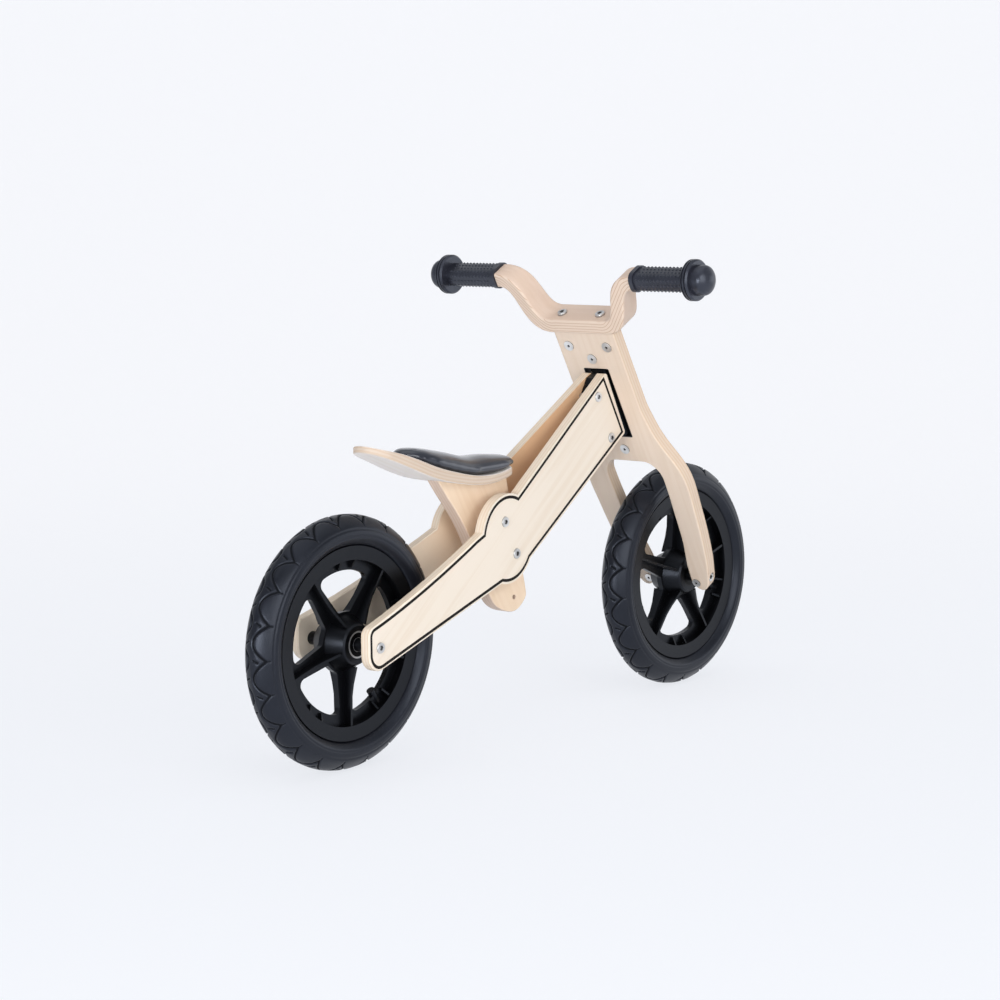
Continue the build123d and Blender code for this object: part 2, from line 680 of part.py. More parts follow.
half_plate = fillet([e for e in fork_edges if e.center().Y > FORK_EDGE_RADIUS], FORK_EDGE_RADIUS)
fork = half_plate + mirrored(half_plate)
slot_mid = -(SLOT_TOP + SLOT_BOTTOM) / 2
slot_length = SLOT_BOTTOM - SLOT_TOP
slot = RectangleRounded(2 * SLOT_HALF_WIDTH, slot_length, SLOT_CORNER)
slot_block = extrude(fork_plane * Pos(0, slot_mid) * slot, FORK_THICKNESS)
opening = Rectangle(2 * (SLOT_HALF_WIDTH - LINER_WALL), slot_length - 2 * LINER_WALL)
liner = slot_block - extrude(fork_plane * Pos(0, slot_mid) * opening, FORK_THICKNESS)
save("slot_liner", liner - along_w(0, FORK_MID, SLOT_TOP, SLOT_BOTTOM, PIVOT_RADIUS))
fork -= slot_block
fork -= along_w(0, FORK_MID, FORK_TOP, SLOT_TOP, PIVOT_RADIUS)
fork -= along_w(0, FORK_MID, FORK_TOP - BOLT_HEAD_HEIGHT, FORK_TOP + BOLT_HEAD_HEIGHT, BOLT_HEAD_RADIUS)
fork -= along_w(0, FORK_MID, SLOT_BOTTOM, ARCH_TOP, PIVOT_RADIUS)
fork -= along_w(0, FORK_MID, ARCH_TOP - BOLT_HEAD_HEIGHT, ARCH_TOP + BOLT_HEAD_HEIGHT, BOLT_HEAD_RADIUS)
pivot_nuts = []
for nut_w in (UPPER_NUT_DOWN, LOWER_NUT_DOWN):
    fork -= along_n(0, nut_w, 0, BARREL_NUT_LENGTH, BARREL_NUT_RADIUS)
    nut = capped_pin(0, nut_w, BARREL_NUT_LENGTH, BARREL_NUT_RADIUS, CAP_RADIUS)
    pivot_nuts.append(nut - along_w(0, FORK_MID, FORK_TOP, ARCH_TOP, PIVOT_RADIUS))
save("pivot_barrel_nuts", *pivot_nuts)
bar_top = FORK_TOP - BAR_THICKNESS
bar_nuts = []
bar_bolts = []
for u in (-BAR_BOLT_OFFSET, BAR_BOLT_OFFSET):
    shank_hole = along_w(u, FORK_MID, bar_top, BAR_BOLT_PAST_NUT, BAR_BOLT_SHANK)
    fork -= shank_hole
    fork -= along_n(u, 0, 0, BARREL_NUT_LENGTH, BARREL_NUT_RADIUS)
    nut = capped_pin(u, 0, BARREL_NUT_LENGTH, BARREL_NUT_RADIUS, CAP_RADIUS)
    bar_nuts.append(nut - shank_hole)
    one = bolt(BAR_BOLT_SHANK, BAR_BOLT_PAST_NUT - bar_top, BOLT_HEAD_RADIUS, BOLT_HEAD_HEIGHT)
    bar_bolts.append(fork_at * Pos(u, -bar_top, FORK_MID) * Rot(-90, 0, 0) * one)
save("handlebar_barrel_nuts", *bar_nuts)
save("handlebar_bolts", *bar_bolts)
tip_dowels = []
fork -= through_y(FRONT_X, TYRE_RADIUS, AXLE_BOLT_RADIUS)
for side in (-1, 1):
    fork -= along_y(FRONT_X, TYRE_RADIUS, side * FRONT_BOLT_SEAT, side * 2 * FRONT_BOLT_SEAT, BOLT_HEAD_RADIUS)
    fork -= along_y(FRONT_X, TYRE_RADIUS, 0, side * (LEG_INNER_AT_AXLE + SEAT_DEPTH), SPACER_RADIUS)
    dowel_u = side * TIP_DOWEL[0]
    fork -= along_n(dowel_u, TIP_DOWEL[1], 0, TIP_DOWEL_LENGTH, TIP_DOWEL_RADIUS)
    tip_dowels.append(
        capped_pin(dowel_u, TIP_DOWEL[1], TIP_DOWEL_LENGTH, TIP_DOWEL_RADIUS, TIP_CAP_RADIUS)
    )
save("fork_tip_dowels", *tip_dowels)
save("fork_plate", fork)
axle_parts("front", FRONT_X, LEG_INNER_AT_AXLE + SEAT_DEPTH)
front_bolt_length = FRONT_BOLT_SEAT - LEG_INNER_AT_AXLE - SEAT_DEPTH + FRONT_BOLT_GRIP
front_bolt = bolt_y(FRONT_X, TYRE_RADIUS, -FRONT_BOLT_SEAT, -1, AXLE_BOLT_RADIUS, front_bolt_length)
save("front_axle_bolts", front_bolt, mirrored(front_bolt))

# Pivot bolts from the fork's top edge and from its arch into the bushes
upper_seat = FORK_TOP + BOLT_HEAD_HEIGHT
lower_seat = ARCH_TOP - BOLT_HEAD_HEIGHT
upper_length = barrel_top + BUSH_LENGTH - BUSH_END_GAP - upper_seat
lower_length = lower_seat - barrel_bottom + BUSH_LENGTH - BUSH_END_GAP
upper_pivot = bolt(PIVOT_RADIUS, upper_length, BOLT_HEAD_RADIUS, BOLT_HEAD_HEIGHT)
lower_pivot = bolt(PIVOT_RADIUS, lower_length, BOLT_HEAD_RADIUS, BOLT_HEAD_HEIGHT)
save("upper_pivot_bolt", fork_at * Pos(0, -upper_seat, FORK_MID) * Rot(-90, 0, 0) * upper_pivot)
save("lower_pivot_bolt", fork_at * Pos(0, -lower_seat, FORK_MID) * Rot(90, 0, 0) * lower_pivot)

# Handlebar: a bent strip, narrowed toward the grips
bar_mid = FORK_TOP - BAR_THICKNESS / 2
bend_start = (BAR_FLAT_HALF, -bar_mid)
bend_middle = ((BAR_FLAT_HALF + BAR_BEND_END) / 2, -bar_mid + BAR_RISE / 2)
bend_end = (BAR_BEND_END, -bar_mid + BAR_RISE)
path_half = [
    Line((0, -bar_mid), bend_start),
    Spline(bend_start, bend_middle, bend_end, tangents=[(1, 0), (1, 0)]),
    Line(bend_end, (TENON_START, -bar_mid + BAR_RISE)),
]
bar_centre_n = FORK_MID + BAR_SHIFT
path = fork_at * Pos(0, 0, bar_centre_n) * Wire([e.edge() for e in path_half])
section_plane = Plane(
    origin=fork_plane.from_local_coords((0, -bar_mid, bar_centre_n)), x_dir=fork_plane.z_dir, z_dir=(0, 1, 0)
)
half_bar = sweep(section_plane * Rectangle(BAR_WIDTH, BAR_THICKNESS), path)
rear_edge = BAR_END_WIDTH / 2 - BAR_SHIFT
front_edge = -BAR_END_WIDTH / 2 - BAR_SHIFT
plan_half = make_face(
    [
        Line((0, BAR_WIDTH / 2), (BAR_FLAT_HALF, BAR_WIDTH / 2)),
        Spline(
            (BAR_FLAT_HALF, BAR_WIDTH / 2),
            (BAR_NECK, -front_edge + BAR_NECK_REAR),
            (TENON_START, -front_edge),
            tangents=[(1, 0), (1, 0)],
        ),
        Line((TENON_START, -front_edge), (TENON_START, -rear_edge)),
        Spline(
            (TENON_START, -rear_edge),
            (BAR_NECK, -rear_edge - BAR_NECK_FRONT),
            (BAR_FLAT_HALF, -BAR_WIDTH / 2),
            tangents=[(-1, 0), (-1, 0)],
        ),
        Line((BAR_FLAT_HALF, -BAR_WIDTH / 2), (0, -BAR_WIDTH / 2)),
        Line((0, -BAR_WIDTH / 2), (0, BAR_WIDTH / 2)),
    ]
)
plan_plane = Plane(
    origin=fork_plane.from_local_coords((0, 0, bar_centre_n)), x_dir=(0, 1, 0), z_dir=(-RAKE_SIN, 0, RAKE_COS)
)
half_bar &= extrude(plan_plane * plan_half, clear_through)
grip_n = bar_centre_n - BAR_SHIFT
grip_w = bar_mid - BAR_RISE
tenon_length = TENON_END - TENON_START
tenon_block = Box(tenon_length, TENON_THICKNESS, TENON_WIDTH)
tenon_block = fillet(tenon_block.edges().filter_by(Axis.X), TENON_CORNER)
half_bar += fork_at * Pos(TENON_START + tenon_length / 2, -grip_w, grip_n) * tenon_block
bar = half_bar + mirrored(half_bar)
bar_edges = [e for e in bar.edges() if e.length > BAR_THICKNESS and abs(e.center().Y) < BAR_BEND_END]
bar = fillet(bar_edges, BAR_EDGE_RADIUS)
for u in (-BAR_BOLT_OFFSET, BAR_BOLT_OFFSET):
    bar -= along_w(u, FORK_MID, bar_top - BOLT_HEAD_HEIGHT, 0, BAR_BOLT_SHANK)
save("handlebar", bar)

# Left grip: sleeve, collar, flange with two ring grooves and a domed end
sleeve_length = FLANGE_CENTRE - TENON_START
sleeve = fillet(Box(sleeve_length, GRIP_THICKNESS, GRIP_WIDTH).edges().filter_by(Axis.X), GRIP_CORNER)
collar = Box(COLLAR_LENGTH, GRIP_THICKNESS + 2 * COLLAR_RISE, GRIP_WIDTH + 2 * COLLAR_RISE)
collar = fillet(collar.edges().filter_by(Axis.X), GRIP_CORNER + COLLAR_RISE)
grip = Pos(TENON_START + sleeve_length / 2, 0, 0) * sleeve
grip += Pos(TENON_START + COLLAR_LENGTH / 2, 0, 0) * collar
flange_start = FLANGE_CENTRE - FLANGE_THICKNESS / 2
flange_end = FLANGE_CENTRE + FLANGE_THICKNESS / 2
groove_floor = FLANGE_RADIUS - FLANGE_GROOVE_DEPTH
flange_outline = [
    (flange_start, 0),
    (flange_start, FLANGE_RADIUS - FLANGE_EDGE),
    (flange_start + FLANGE_EDGE, FLANGE_RADIUS),
]
for groove in (FLANGE_CENTRE - FLANGE_GROOVE_OFFSET, FLANGE_CENTRE + FLANGE_GROOVE_OFFSET):
    flange_outline.append((groove - FLANGE_GROOVE_HALF, FLANGE_RADIUS))
    flange_outline.append((groove - FLANGE_GROOVE_HALF, groove_floor))
    flange_outline.append((groove + FLANGE_GROOVE_HALF, groove_floor))
    flange_outline.append((groove + FLANGE_GROOVE_HALF, FLANGE_RADIUS))
flange_outline.append((flange_end - FLANGE_EDGE, FLANGE_RADIUS))
flange_outline.append((flange_end, FLANGE_RADIUS - FLANGE_EDGE))
flange_outline.append((flange_end, 0))
grip += revolve(make_face(Polyline(*flange_outline, close=True)), Axis.X)
dome_start = GRIP_END - DOME_LENGTH
dome_outline = [
    Line((FLANGE_CENTRE, 0), (FLANGE_CENTRE, DOME_RADIUS)),
    Line((FLANGE_CENTRE, DOME_RADIUS), (dome_start, DOME_RADIUS)),
    Spline(
        (dome_start, DOME_RADIUS),
        (GRIP_END - 0.3 * DOME_LENGTH, 0.7 * DOME_RADIUS),
        (GRIP_END, 0),
        tangents=[(1, 0), (0, -1)],
    ),
    Line((GRIP_END, 0), (FLANGE_CENTRE, 0)),
]
grip += revolve(make_face(dome_outline), Axis.X)
grip -= Pos(TENON_START + tenon_length / 2, 0, 0) * tenon_block
left_grip = fork_at * Pos(0, -grip_w, grip_n) * grip
save("left_grip", left_grip)
save("right_grip", mirrored(left_grip))

# Seat shell: a bent plywood plate, curved in side view, rounded in plan
under = Spline(*[(x, z) for x, z, thick in SHELL_PROFILE])
over = Spline(*[(x, z + thick) for x, z, thick in SHELL_PROFILE])
x_rear = SHELL_PROFILE[0][0]
x_front = SHELL_PROFILE[-1][0]
high = clear_through
low = -clear_through
shell_side = make_face([under, over, Line(under @ 0, over @ 0), Line(under @ 1, over @ 1)])
above_under = make_face(
    [
        under,
        Line(under @ 0, (x_rear, high)),
        Line((x_rear, high), (x_front, high)),
        Line((x_front, high), under @ 1),
    ]
)
below_over = make_face(
    [
        over,
        Line(over @ 0, (x_rear, low)),
        Line((x_rear, low), (x_front, low)),
        Line((x_front, low), over @ 1),
    ]
)
other_flank = [(x, -y) for x, y in SHELL_FLANK]
shell_plan = make_face(
    [
        Spline(*SHELL_FLANK),
        ThreePointArc(SHELL_FLANK[-1], (SHELL_FRONT, 0), other_flank[-1]),
        Spline(*other_flank),
        ThreePointArc(other_flank[0], (SHELL_REAR, 0), SHELL_FLANK[0]),
    ]
)
shell_plan = fillet(shell_plan.vertices().sort_by(Axis.X)[-2:], SHELL_FRONT_CORNER)
shell = extrude(Plane.XZ * shell_side, PLATE_HALF_GAP, both=True) & extrude(shell_plan, high)
long_edge = SHELL_FRONT_CORNER + SHELL_EDGE_RADIUS
shell = fillet([e for e in shell.edges() if e.length > long_edge], SHELL_EDGE_RADIUS)


# Cushion: crowned pad on the shell, with drawn-in sides
def cushion_section(x, half, top, side_drop):
    foot = half * CUSHION_FOOT_SHARE
    turn = half * CUSHION_CROWN_SHARE
    floor = 0
    side_top = top - side_drop
    outline = [
        Line((-foot, floor), (foot, floor)),
        Line((foot, floor), (half, side_top)),
        Spline((half, side_top), (turn, top - CUSHION_CROWN), (0, top), tangents=[(0, 1), (-1, 0)]),
        Spline((0, top), (-turn, top - CUSHION_CROWN), (-half, side_top), tangents=[(-1, 0), (0, -1)]),
        Line((-half, side_top), (-foot, floor)),
    ]
    return Plane(origin=(x, 0, 0), x_dir=(0, 1, 0), z_dir=(1, 0, 0)) * make_face(outline)


cushion = loft([cushion_section(*row) for row in CUSHION_ROWS])
cushion -= extrude(Plane.XZ * below_over, PLATE_HALF_GAP, both=True)
save("seat_cushion", rear_axle_at * cushion)

# Seat post: flat plate in the centre plane
back_lean = (0.6, -0.8)
foot_lean = (0.5, -0.87)
front_lean = (-0.2, 1)
post_outline = [
    Line(POST_TOP_REAR, POST_BACK_TOP),
    Spline(POST_BACK_TOP, *POST_BACK, POST_BACK_FOOT, tangents=[back_lean, foot_lean]),
    Spline(POST_BACK_FOOT, *POST_FOOT, POST_FRONT_FOOT, tangents=[foot_lean, front_lean]),
    Line(POST_FRONT_FOOT, POST_TOP_FRONT),
    Line(POST_TOP_FRONT, POST_TOP_REAR),
]
post = extrude(Plane.XZ * make_face(post_outline), POST_HALF_THICKNESS, both=True)
post_faces = post.faces().sort_by(Axis.Y)
post = fillet(post_faces[0].edges() + post_faces[-1].edges(), POST_EDGE_RADIUS)
post -= extrude(Plane.XZ * above_under, PLATE_HALF_GAP, both=True)
for x, z in SEAT_BOLTS:
    post -= through_y(x, z, SLEEVE_RADIUS)
post -= through_y(*SPARE_HOLE, SPARE_HOLE_RADIUS)
seat_screws = []
for x, seat_z in SEAT_SCREWS:
    shank = Pos(x, 0, seat_z - SEAT_SCREW_LENGTH / 2) * Cylinder(SEAT_SCREW_RADIUS, SEAT_SCREW_LENGTH)
    head = Pos(x, 0, seat_z + SEAT_SCREW_HEAD_HEIGHT / 2) * Cylinder(SEAT_SCREW_HEAD, SEAT_SCREW_HEAD_HEIGHT)
    shell -= Pos(x, 0, seat_z + SEAT_SCREW_LENGTH / 2) * Cylinder(SEAT_SCREW_HEAD, SEAT_SCREW_LENGTH)
    shell -= shank
    post -= shank
    seat_screws.append(rear_axle_at * (shank + head))
save("seat_screws", *seat_screws)
save("seat_shell", rear_axle_at * shell)
save("seat_post", rear_axle_at * post)
packers = []
for (x, z), (inner, outer) in zip(seat_points, seat_seats):
    packer = along_y(x, z, -POST_HALF_THICKNESS, inner, PACKER_RADIUS)
    packer -= through_y(x, z, SLEEVE_RADIUS)
    packers.append(packer)
    packers.append(mirrored(packer))
save("post_packers", *packers)
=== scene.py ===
"""Wooden balance bike: materials, treaded tyres, padded seat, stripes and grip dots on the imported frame."""
import json
import math

import bpy
from mathutils import Matrix, Vector


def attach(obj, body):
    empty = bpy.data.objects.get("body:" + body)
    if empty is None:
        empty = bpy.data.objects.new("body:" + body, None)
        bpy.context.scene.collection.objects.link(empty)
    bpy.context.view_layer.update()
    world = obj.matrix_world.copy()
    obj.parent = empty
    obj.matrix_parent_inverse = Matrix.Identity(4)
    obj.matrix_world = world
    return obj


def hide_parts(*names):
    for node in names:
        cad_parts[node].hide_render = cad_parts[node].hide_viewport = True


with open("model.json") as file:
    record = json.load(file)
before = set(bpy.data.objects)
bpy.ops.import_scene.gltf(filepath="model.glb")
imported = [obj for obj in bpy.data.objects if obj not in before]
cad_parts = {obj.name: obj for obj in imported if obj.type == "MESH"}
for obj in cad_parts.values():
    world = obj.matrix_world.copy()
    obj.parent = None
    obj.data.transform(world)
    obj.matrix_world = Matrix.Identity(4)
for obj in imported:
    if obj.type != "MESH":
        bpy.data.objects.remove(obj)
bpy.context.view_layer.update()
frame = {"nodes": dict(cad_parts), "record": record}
nodes = frame["nodes"]
MM = 0.001

# Sizes in mm, as in the solids
WHEEL_RADIUS = 149.0
AXLE_X = 326.0
RAKE = math.radians(29.5)
FORK_THICKNESS = 18.0
FORK_AXLE_DOWN = 368.0
TOE = math.radians(5.0)
PLATE_THICKNESS = 12.0
PLATE_HALF_GAP = 47.5

# Directions and origin of the raked fork
fork_down = Vector((math.sin(RAKE), 0, -math.cos(RAKE)))
fork_ahead = Vector((math.cos(RAKE), 0, math.sin(RAKE)))
side = Vector((0, 1, 0))
front_axle = Vector((AXLE_X, 0, WHEEL_RADIUS))
fork_origin = front_axle - fork_down * FORK_AXLE_DOWN - fork_ahead * (FORK_THICKNESS / 2)


def fork_point(u, w, n):
    """Point in mm from the fork's own directions."""
    return fork_origin + side * u + fork_down * w + fork_ahead * n


# Shader helpers


def start_material(name, roughness):
    material = bpy.data.materials.new(name)
    material.use_nodes = True
    tree = material.node_tree
    shader = tree.nodes["Principled BSDF"]
    shader.inputs["Roughness"].default_value = roughness
    return material, tree, shader


def add_node(tree, kind, settings=None, **sockets):
    node = tree.nodes.new(kind)
    for key, value in (settings or {}).items():
        setattr(node, key, value)
    for key, value in sockets.items():
        socket = node.inputs[int(key[1:])] if key[0] == "i" and key[1:].isdigit() else node.inputs[key]
        if isinstance(value, bpy.types.NodeSocket):
            tree.links.new(value, socket)
        else:
            socket.default_value = value
    return node


def math_node(tree, operation, a, b=0.0):
    return add_node(tree, "ShaderNodeMath", {"operation": operation}, i0=a, i1=b).outputs[0]


def dot_node(tree, vector, direction):
    return add_node(
        tree, "ShaderNodeVectorMath", {"operation": "DOT_PRODUCT"}, i0=vector, i1=tuple(direction)
    ).outputs["Value"]


def ramp_node(tree, factor, stops):
    node = add_node(tree, "ShaderNodeValToRGB", None, Fac=factor)
    elements = node.color_ramp.elements
    elements[0].position, elements[0].color = stops[0][0], (*stops[0][1], 1)
    elements[1].position, elements[1].color = stops[-1][0], (*stops[-1][1], 1)
    for position, colour in stops[1:-1]:
        element = elements.new(position)
        element.color = (*colour, 1)
    return node.outputs["Color"]


def bump_node(tree, shader, height, strength, distance):
    bump = add_node(tree, "ShaderNodeBump", None, Strength=strength, Distance=distance, Height=height)
    tree.links.new(bump.outputs["Normal"], shader.inputs["Normal"])


def mix_node(tree, factor, first, second):
    """Blend of two colours, each a socket or a plain colour."""
    colours = [c if isinstance(c, bpy.types.NodeSocket) else (*c, 1) for c in (first, second)]
    node = add_node(tree, "ShaderNodeMix", {"data_type": "RGBA"}, i0=factor, i6=colours[0], i7=colours[1])
    return node.outputs[2]


def ease_node(tree, value, low, high, bottom=0.0, top=1.0):
    """Smooth step from bottom at low to top at high."""
    settings = {"interpolation_type": "SMOOTHSTEP"}
    node = add_node(tree, "ShaderNodeMapRange", settings, i0=value, i1=low, i2=high, i3=bottom, i4=top)
    return node.outputs[0]


def facing_node(tree, direction):
    """How squarely the surface faces along a direction or against it, 0 to 1."""
    normal = add_node(tree, "ShaderNodeTexCoord").outputs["Normal"]
    return math_node(tree, "ABSOLUTE", dot_node(tree, normal, direction))


def curve_node(tree, value, points, low, high, bottom, top):
    """Float curve from low..high to bottom..top."""
    scaled = math_node(tree, "DIVIDE", math_node(tree, "SUBTRACT", value, low), high - low)
    node = add_node(tree, "ShaderNodeFloatCurve", None, Value=scaled)
    curve = node.mapping.curves[0]
    places = [((x - low) / (high - low), (y - bottom) / (top - bottom)) for x, y in points]
    curve.points[0].location = places[0]
    curve.points[1].location = places[-1]
    for place in places[1:-1]:
        curve.points.new(*place)
    node.mapping.update()
    return math_node(tree, "ADD", math_node(tree, "MULTIPLY", node.outputs[0], top - bottom), bottom)


# Birch plywood: pale faces with a faint grain, cross plies on the edges
PLATE_TONE = (0.80, 0.71, 0.61)
# Painted light between the side plates: their inner faces go from a warm painted bounce light at the rear to
# a deep orange painted shade at the front
PAINTED_BOUNCE_REAR = (0.84, 0.73, 0.60)
PAINTED_SHADE_FRONT = (0.70, 0.46, 0.28)
# Fork: birch tone darkened and warmed as painted shade, for the fork's down-facing rear face
FORK_SHADED_TONE = (0.725, 0.60, 0.495)
# Post: birch tone warmed and deepened as painted bounce light between the plates; its edges greyed as painted
# shade
POST_BOUNCE_TONE = (0.785, 0.62, 0.465)
POST_SHADED_EDGE = (0.66, 0.54, 0.475)
BAR_TONE = (0.68, 0.53, 0.435)
BAR_EDGE = (0.73, 0.605, 0.515)
# Seat shell: birch tone made paler and cooler as painted bounce light from the floor on its underside
SHELL_BOUNCE_TONE = (0.85, 0.80, 0.77)
SHELL_EDGE = (0.62, 0.525, 0.45)
STREAK_SHADE = (0.955, 0.93, 0.90)
PLY_SHADE = (0.90, 0.82, 0.73)
PLY_BAND = (0.42, 0.68)
# Span along the grain over which the inner faces' painted bounce light turns into painted shade
PAINTED_SHADE_SPAN = (-0.04, 0.16)
GLUE_SHADE = (0.66, 0.50, 0.37)
GLUE_BAND = (0.74, 0.93)
# Stretch along the grain, fineness across it and detail
GRAIN_NOISE = (5.0, 130.0, 5.0)
FIGURE_NOISE = (3.0, 11.0, 2.0)
GRAIN_SHARE = 0.6
STREAK_BAND = (0.56, 0.38)
# Depths over which the painted shade fades from the plates' inner faces
PAINTED_SHADE_DEPTHS = (0.0025, 0.0008)
WOOD_ROUGHNESS = 0.40
GRAIN_ROUGHNESS = 0.18
WOOD_GLOSS = 0.35
WOOD_BUMP = (0.12, 0.0004)
FACE_BAND = (0.92, 0.6)


def shaded(tone, shade):
    return tuple(t * s for t, s in zip(tone, shade))


def wood_noise(tree, along, across, depth, stretch, fine, detail):
    """Noise drawn out along the grain."""
    place = add_node(
        tree,
        "ShaderNodeCombineXYZ",
        None,
        X=math_node(tree, "MULTIPLY", along, stretch),
        Y=math_node(tree, "MULTIPLY", across, fine),
        Z=math_node(tree, "MULTIPLY", depth, fine),
    ).outputs[0]
    return add_node(tree, "ShaderNodeTexNoise", None, Vector=place, Scale=1.0, Detail=detail).outputs["Fac"]


def finish_wood(
    tree, shader, place, pitch, edge, tone, cut_tone, shade=PLY_SHADE, band=PLY_BAND, inner=None
):
    """place is depth, along and across in metres; edge is 1 where the cut edge shows, 0 on a face; inner, if
    given, is a pair of tones painted on the inner face from rear to front, as painted bounce light and
    painted shade.
    """
    depth, along, across = place
    grain = wood_noise(tree, along, across, depth, *GRAIN_NOISE)
    figure = wood_noise(tree, along, across, depth, *FIGURE_NOISE)
    grain_part = math_node(tree, "MULTIPLY", grain, GRAIN_SHARE)
    figure_part = math_node(tree, "MULTIPLY", figure, 1 - GRAIN_SHARE)
    streak = ease_node(tree, math_node(tree, "ADD", grain_part, figure_part), *STREAK_BAND)
    face = mix_node(tree, streak, tone, shaded(tone, STREAK_SHADE))
    # Painted bounce light and painted shade on the inner face, warm at the rear and deep orange at the front
    if inner:
        inside = ease_node(tree, depth, *PAINTED_SHADE_DEPTHS)
        ahead = ease_node(tree, along, *PAINTED_SHADE_SPAN)
        face = mix_node(tree, inside, face, mix_node(tree, ahead, *inner))
    layer = math_node(tree, "DIVIDE", math_node(tree, "PINGPONG", depth, pitch), pitch)
    dark_ply = ease_node(tree, layer, *band)
    plies = mix_node(tree, dark_ply, shaded(cut_tone, STREAK_SHADE), shaded(cut_tone, shade))
    tree.links.new(mix_node(tree, edge, face, plies), shader.inputs["Base Color"])
    spread = math_node(tree, "MULTIPLY", grain, GRAIN_ROUGHNESS)
    tree.links.new(math_node(tree, "ADD", spread, WOOD_ROUGHNESS), shader.inputs["Roughness"])
    shader.inputs["Specular IOR Level"].default_value = WOOD_GLOSS
    bump_node(tree, shader, grain, *WOOD_BUMP)


def flat_ply(name, tone, normal, origin, grain, thickness, dark_plies, inner=None, cut_tone=None):
    """Flat board: depth runs along its normal from one face at origin, given in mm; inner carries the painted
    shade tones of that face.
    """
    material, tree, shader = start_material(name, WOOD_ROUGHNESS)
    position = add_node(tree, "ShaderNodeTexCoord").outputs["Object"]
    across = Vector(normal).cross(Vector(grain))
    offset = Vector(normal).dot(Vector(origin)) * MM
    depth = math_node(tree, "SUBTRACT", dot_node(tree, position, normal), offset)
    edge = ease_node(tree, facing_node(tree, normal), *FACE_BAND)
    pitch = thickness * MM / (2 * dark_plies)
    place = (depth, dot_node(tree, position, grain), dot_node(tree, position, across))
    finish_wood(tree, shader, place, pitch, edge, tone, cut_tone or tone, inner=inner)
    return material


# Bent boards: the plies follow the bend
LEAN_TOP = 1.2


def bent_depth(tree, reach, height, line, span, rise):
    """Height above a bent board's line, measured square to the line."""
    slopes = []
    for k, (x, y) in enumerate(line):
        before = line[max(k - 1, 0)]
        after = line[min(k + 1, len(line) - 1)]
        slopes.append((x, 1 / math.hypot(1, (after[1] - before[1]) / (after[0] - before[0]))))
    lean = curve_node(tree, reach, slopes, *span, 0.0, LEAN_TOP)
    above = math_node(tree, "SUBTRACT", height, curve_node(tree, reach, line, *span, *rise))
    return math_node(tree, "MULTIPLY", above, lean)


# Moulded, printed and plated surfaces
WHITE = (1.0, 1.0, 1.0)
COOL = (0.74, 0.82, 1.0)
BROAD_SCALE = 30
FINE_DETAIL = 4.0
BROAD_DETAIL = 2.0
DARKER = 0.78
LIGHTER = 1.25
SHADE_STOPS = (0.35, 0.55, 0.75)


def noise_node(tree, position, scale, detail):
    node = add_node(tree, "ShaderNodeTexNoise", None, Vector=position, Scale=scale, Detail=detail)
    return node.outputs["Fac"]


def speckled(name, colour, roughness, scale, bump, gloss, sheen=WHITE):
    """Fine noise in the relief, broad noise in colour and roughness; roughness is its lowest and highest."""
    rough_low, rough_high = roughness
    material, tree, shader = start_material(name, rough_high)
    position = add_node(tree, "ShaderNodeTexCoord").outputs["Object"]
    fine = noise_node(tree, position, scale, FINE_DETAIL)
    broad = noise_node(tree, position, scale / BROAD_SCALE, BROAD_DETAIL)
    darker = tuple(c * DARKER for c in colour)
    lighter = tuple(min(c * LIGHTER, 1.0) for c in colour)
    shade = ramp_node(tree, broad, list(zip(SHADE_STOPS, (darker, colour, lighter))))
    tree.links.new(shade, shader.inputs["Base Color"])
    spread = math_node(tree, "MULTIPLY", broad, rough_high - rough_low)
    tree.links.new(math_node(tree, "ADD", spread, rough_low), shader.inputs["Roughness"])
    shader.inputs["Specular IOR Level"].default_value = gloss
    shader.inputs["Specular Tint"].default_value = (*sheen, 1)
    bump_node(tree, shader, fine, *bump)
    return material, shader


plastic, _ = speckled(
    "black_plastic",
    (0.0013, 0.0013, 0.0016),
    roughness=(0.26, 0.40),
    scale=900,
    bump=(0.12, 0.0002),
    gloss=0.30,
    sheen=COOL,
)
tyre_rubber, tyre_shader = speckled(
    "tyre_rubber",
    (0.0040, 0.0045, 0.0075),
    roughness=(0.27, 0.45),
    scale=700,
    bump=(0.30, 0.0003),
    gloss=0.42,
    sheen=COOL,
)
grip_rubber, _ = speckled(
    "grip_rubber",
    (0.019, 0.020, 0.028),
    roughness=(0.24, 0.38),
    scale=900,
    bump=(0.2, 0.0002),
    gloss=0.60,
    sheen=COOL,
)
nylon, _ = speckled(
    "nylon",
    (0.006, 0.006, 0.007),
    roughness=(0.35, 0.5),
    scale=800,
    bump=(0.1, 0.0002),
    gloss=0.2,
)
tube_rubber, _ = speckled(
    "tube_rubber",
    (0.006, 0.006, 0.007),
    roughness=(0.5, 0.7),
    scale=600,
    bump=(0.2, 0.0003),
    gloss=0.2,
)
stripe_ink, _ = speckled(
    "stripe_ink",
    (0.010, 0.008, 0.007),
    roughness=(0.5, 0.65),
    scale=1200,
    bump=(0.05, 0.0001),
    gloss=0.12,
)
zinc, zinc_shader = speckled(
    "zinc_plate",
    (0.66, 0.66, 0.66),
    roughness=(0.26, 0.44),
    scale=1500,
    bump=(0.1, 0.0001),
    gloss=0.5,
)
vinyl, vinyl_shader = speckled(
    "black_vinyl",
    (0.009, 0.0098, 0.016),
    roughness=(0.24, 0.34),
    scale=500,
    bump=(0.05, 0.0002),
    gloss=0.5,
    sheen=COOL,
)
ZINC_METAL = 0.95
VINYL_COAT = 0.8
VINYL_COAT_ROUGHNESS = 0.15
zinc_shader.inputs["Metallic"].default_value = ZINC_METAL
vinyl_shader.inputs["Coat Weight"].default_value = VINYL_COAT
vinyl_shader.inputs["Coat Roughness"].default_value = VINYL_COAT_ROUGHNESS

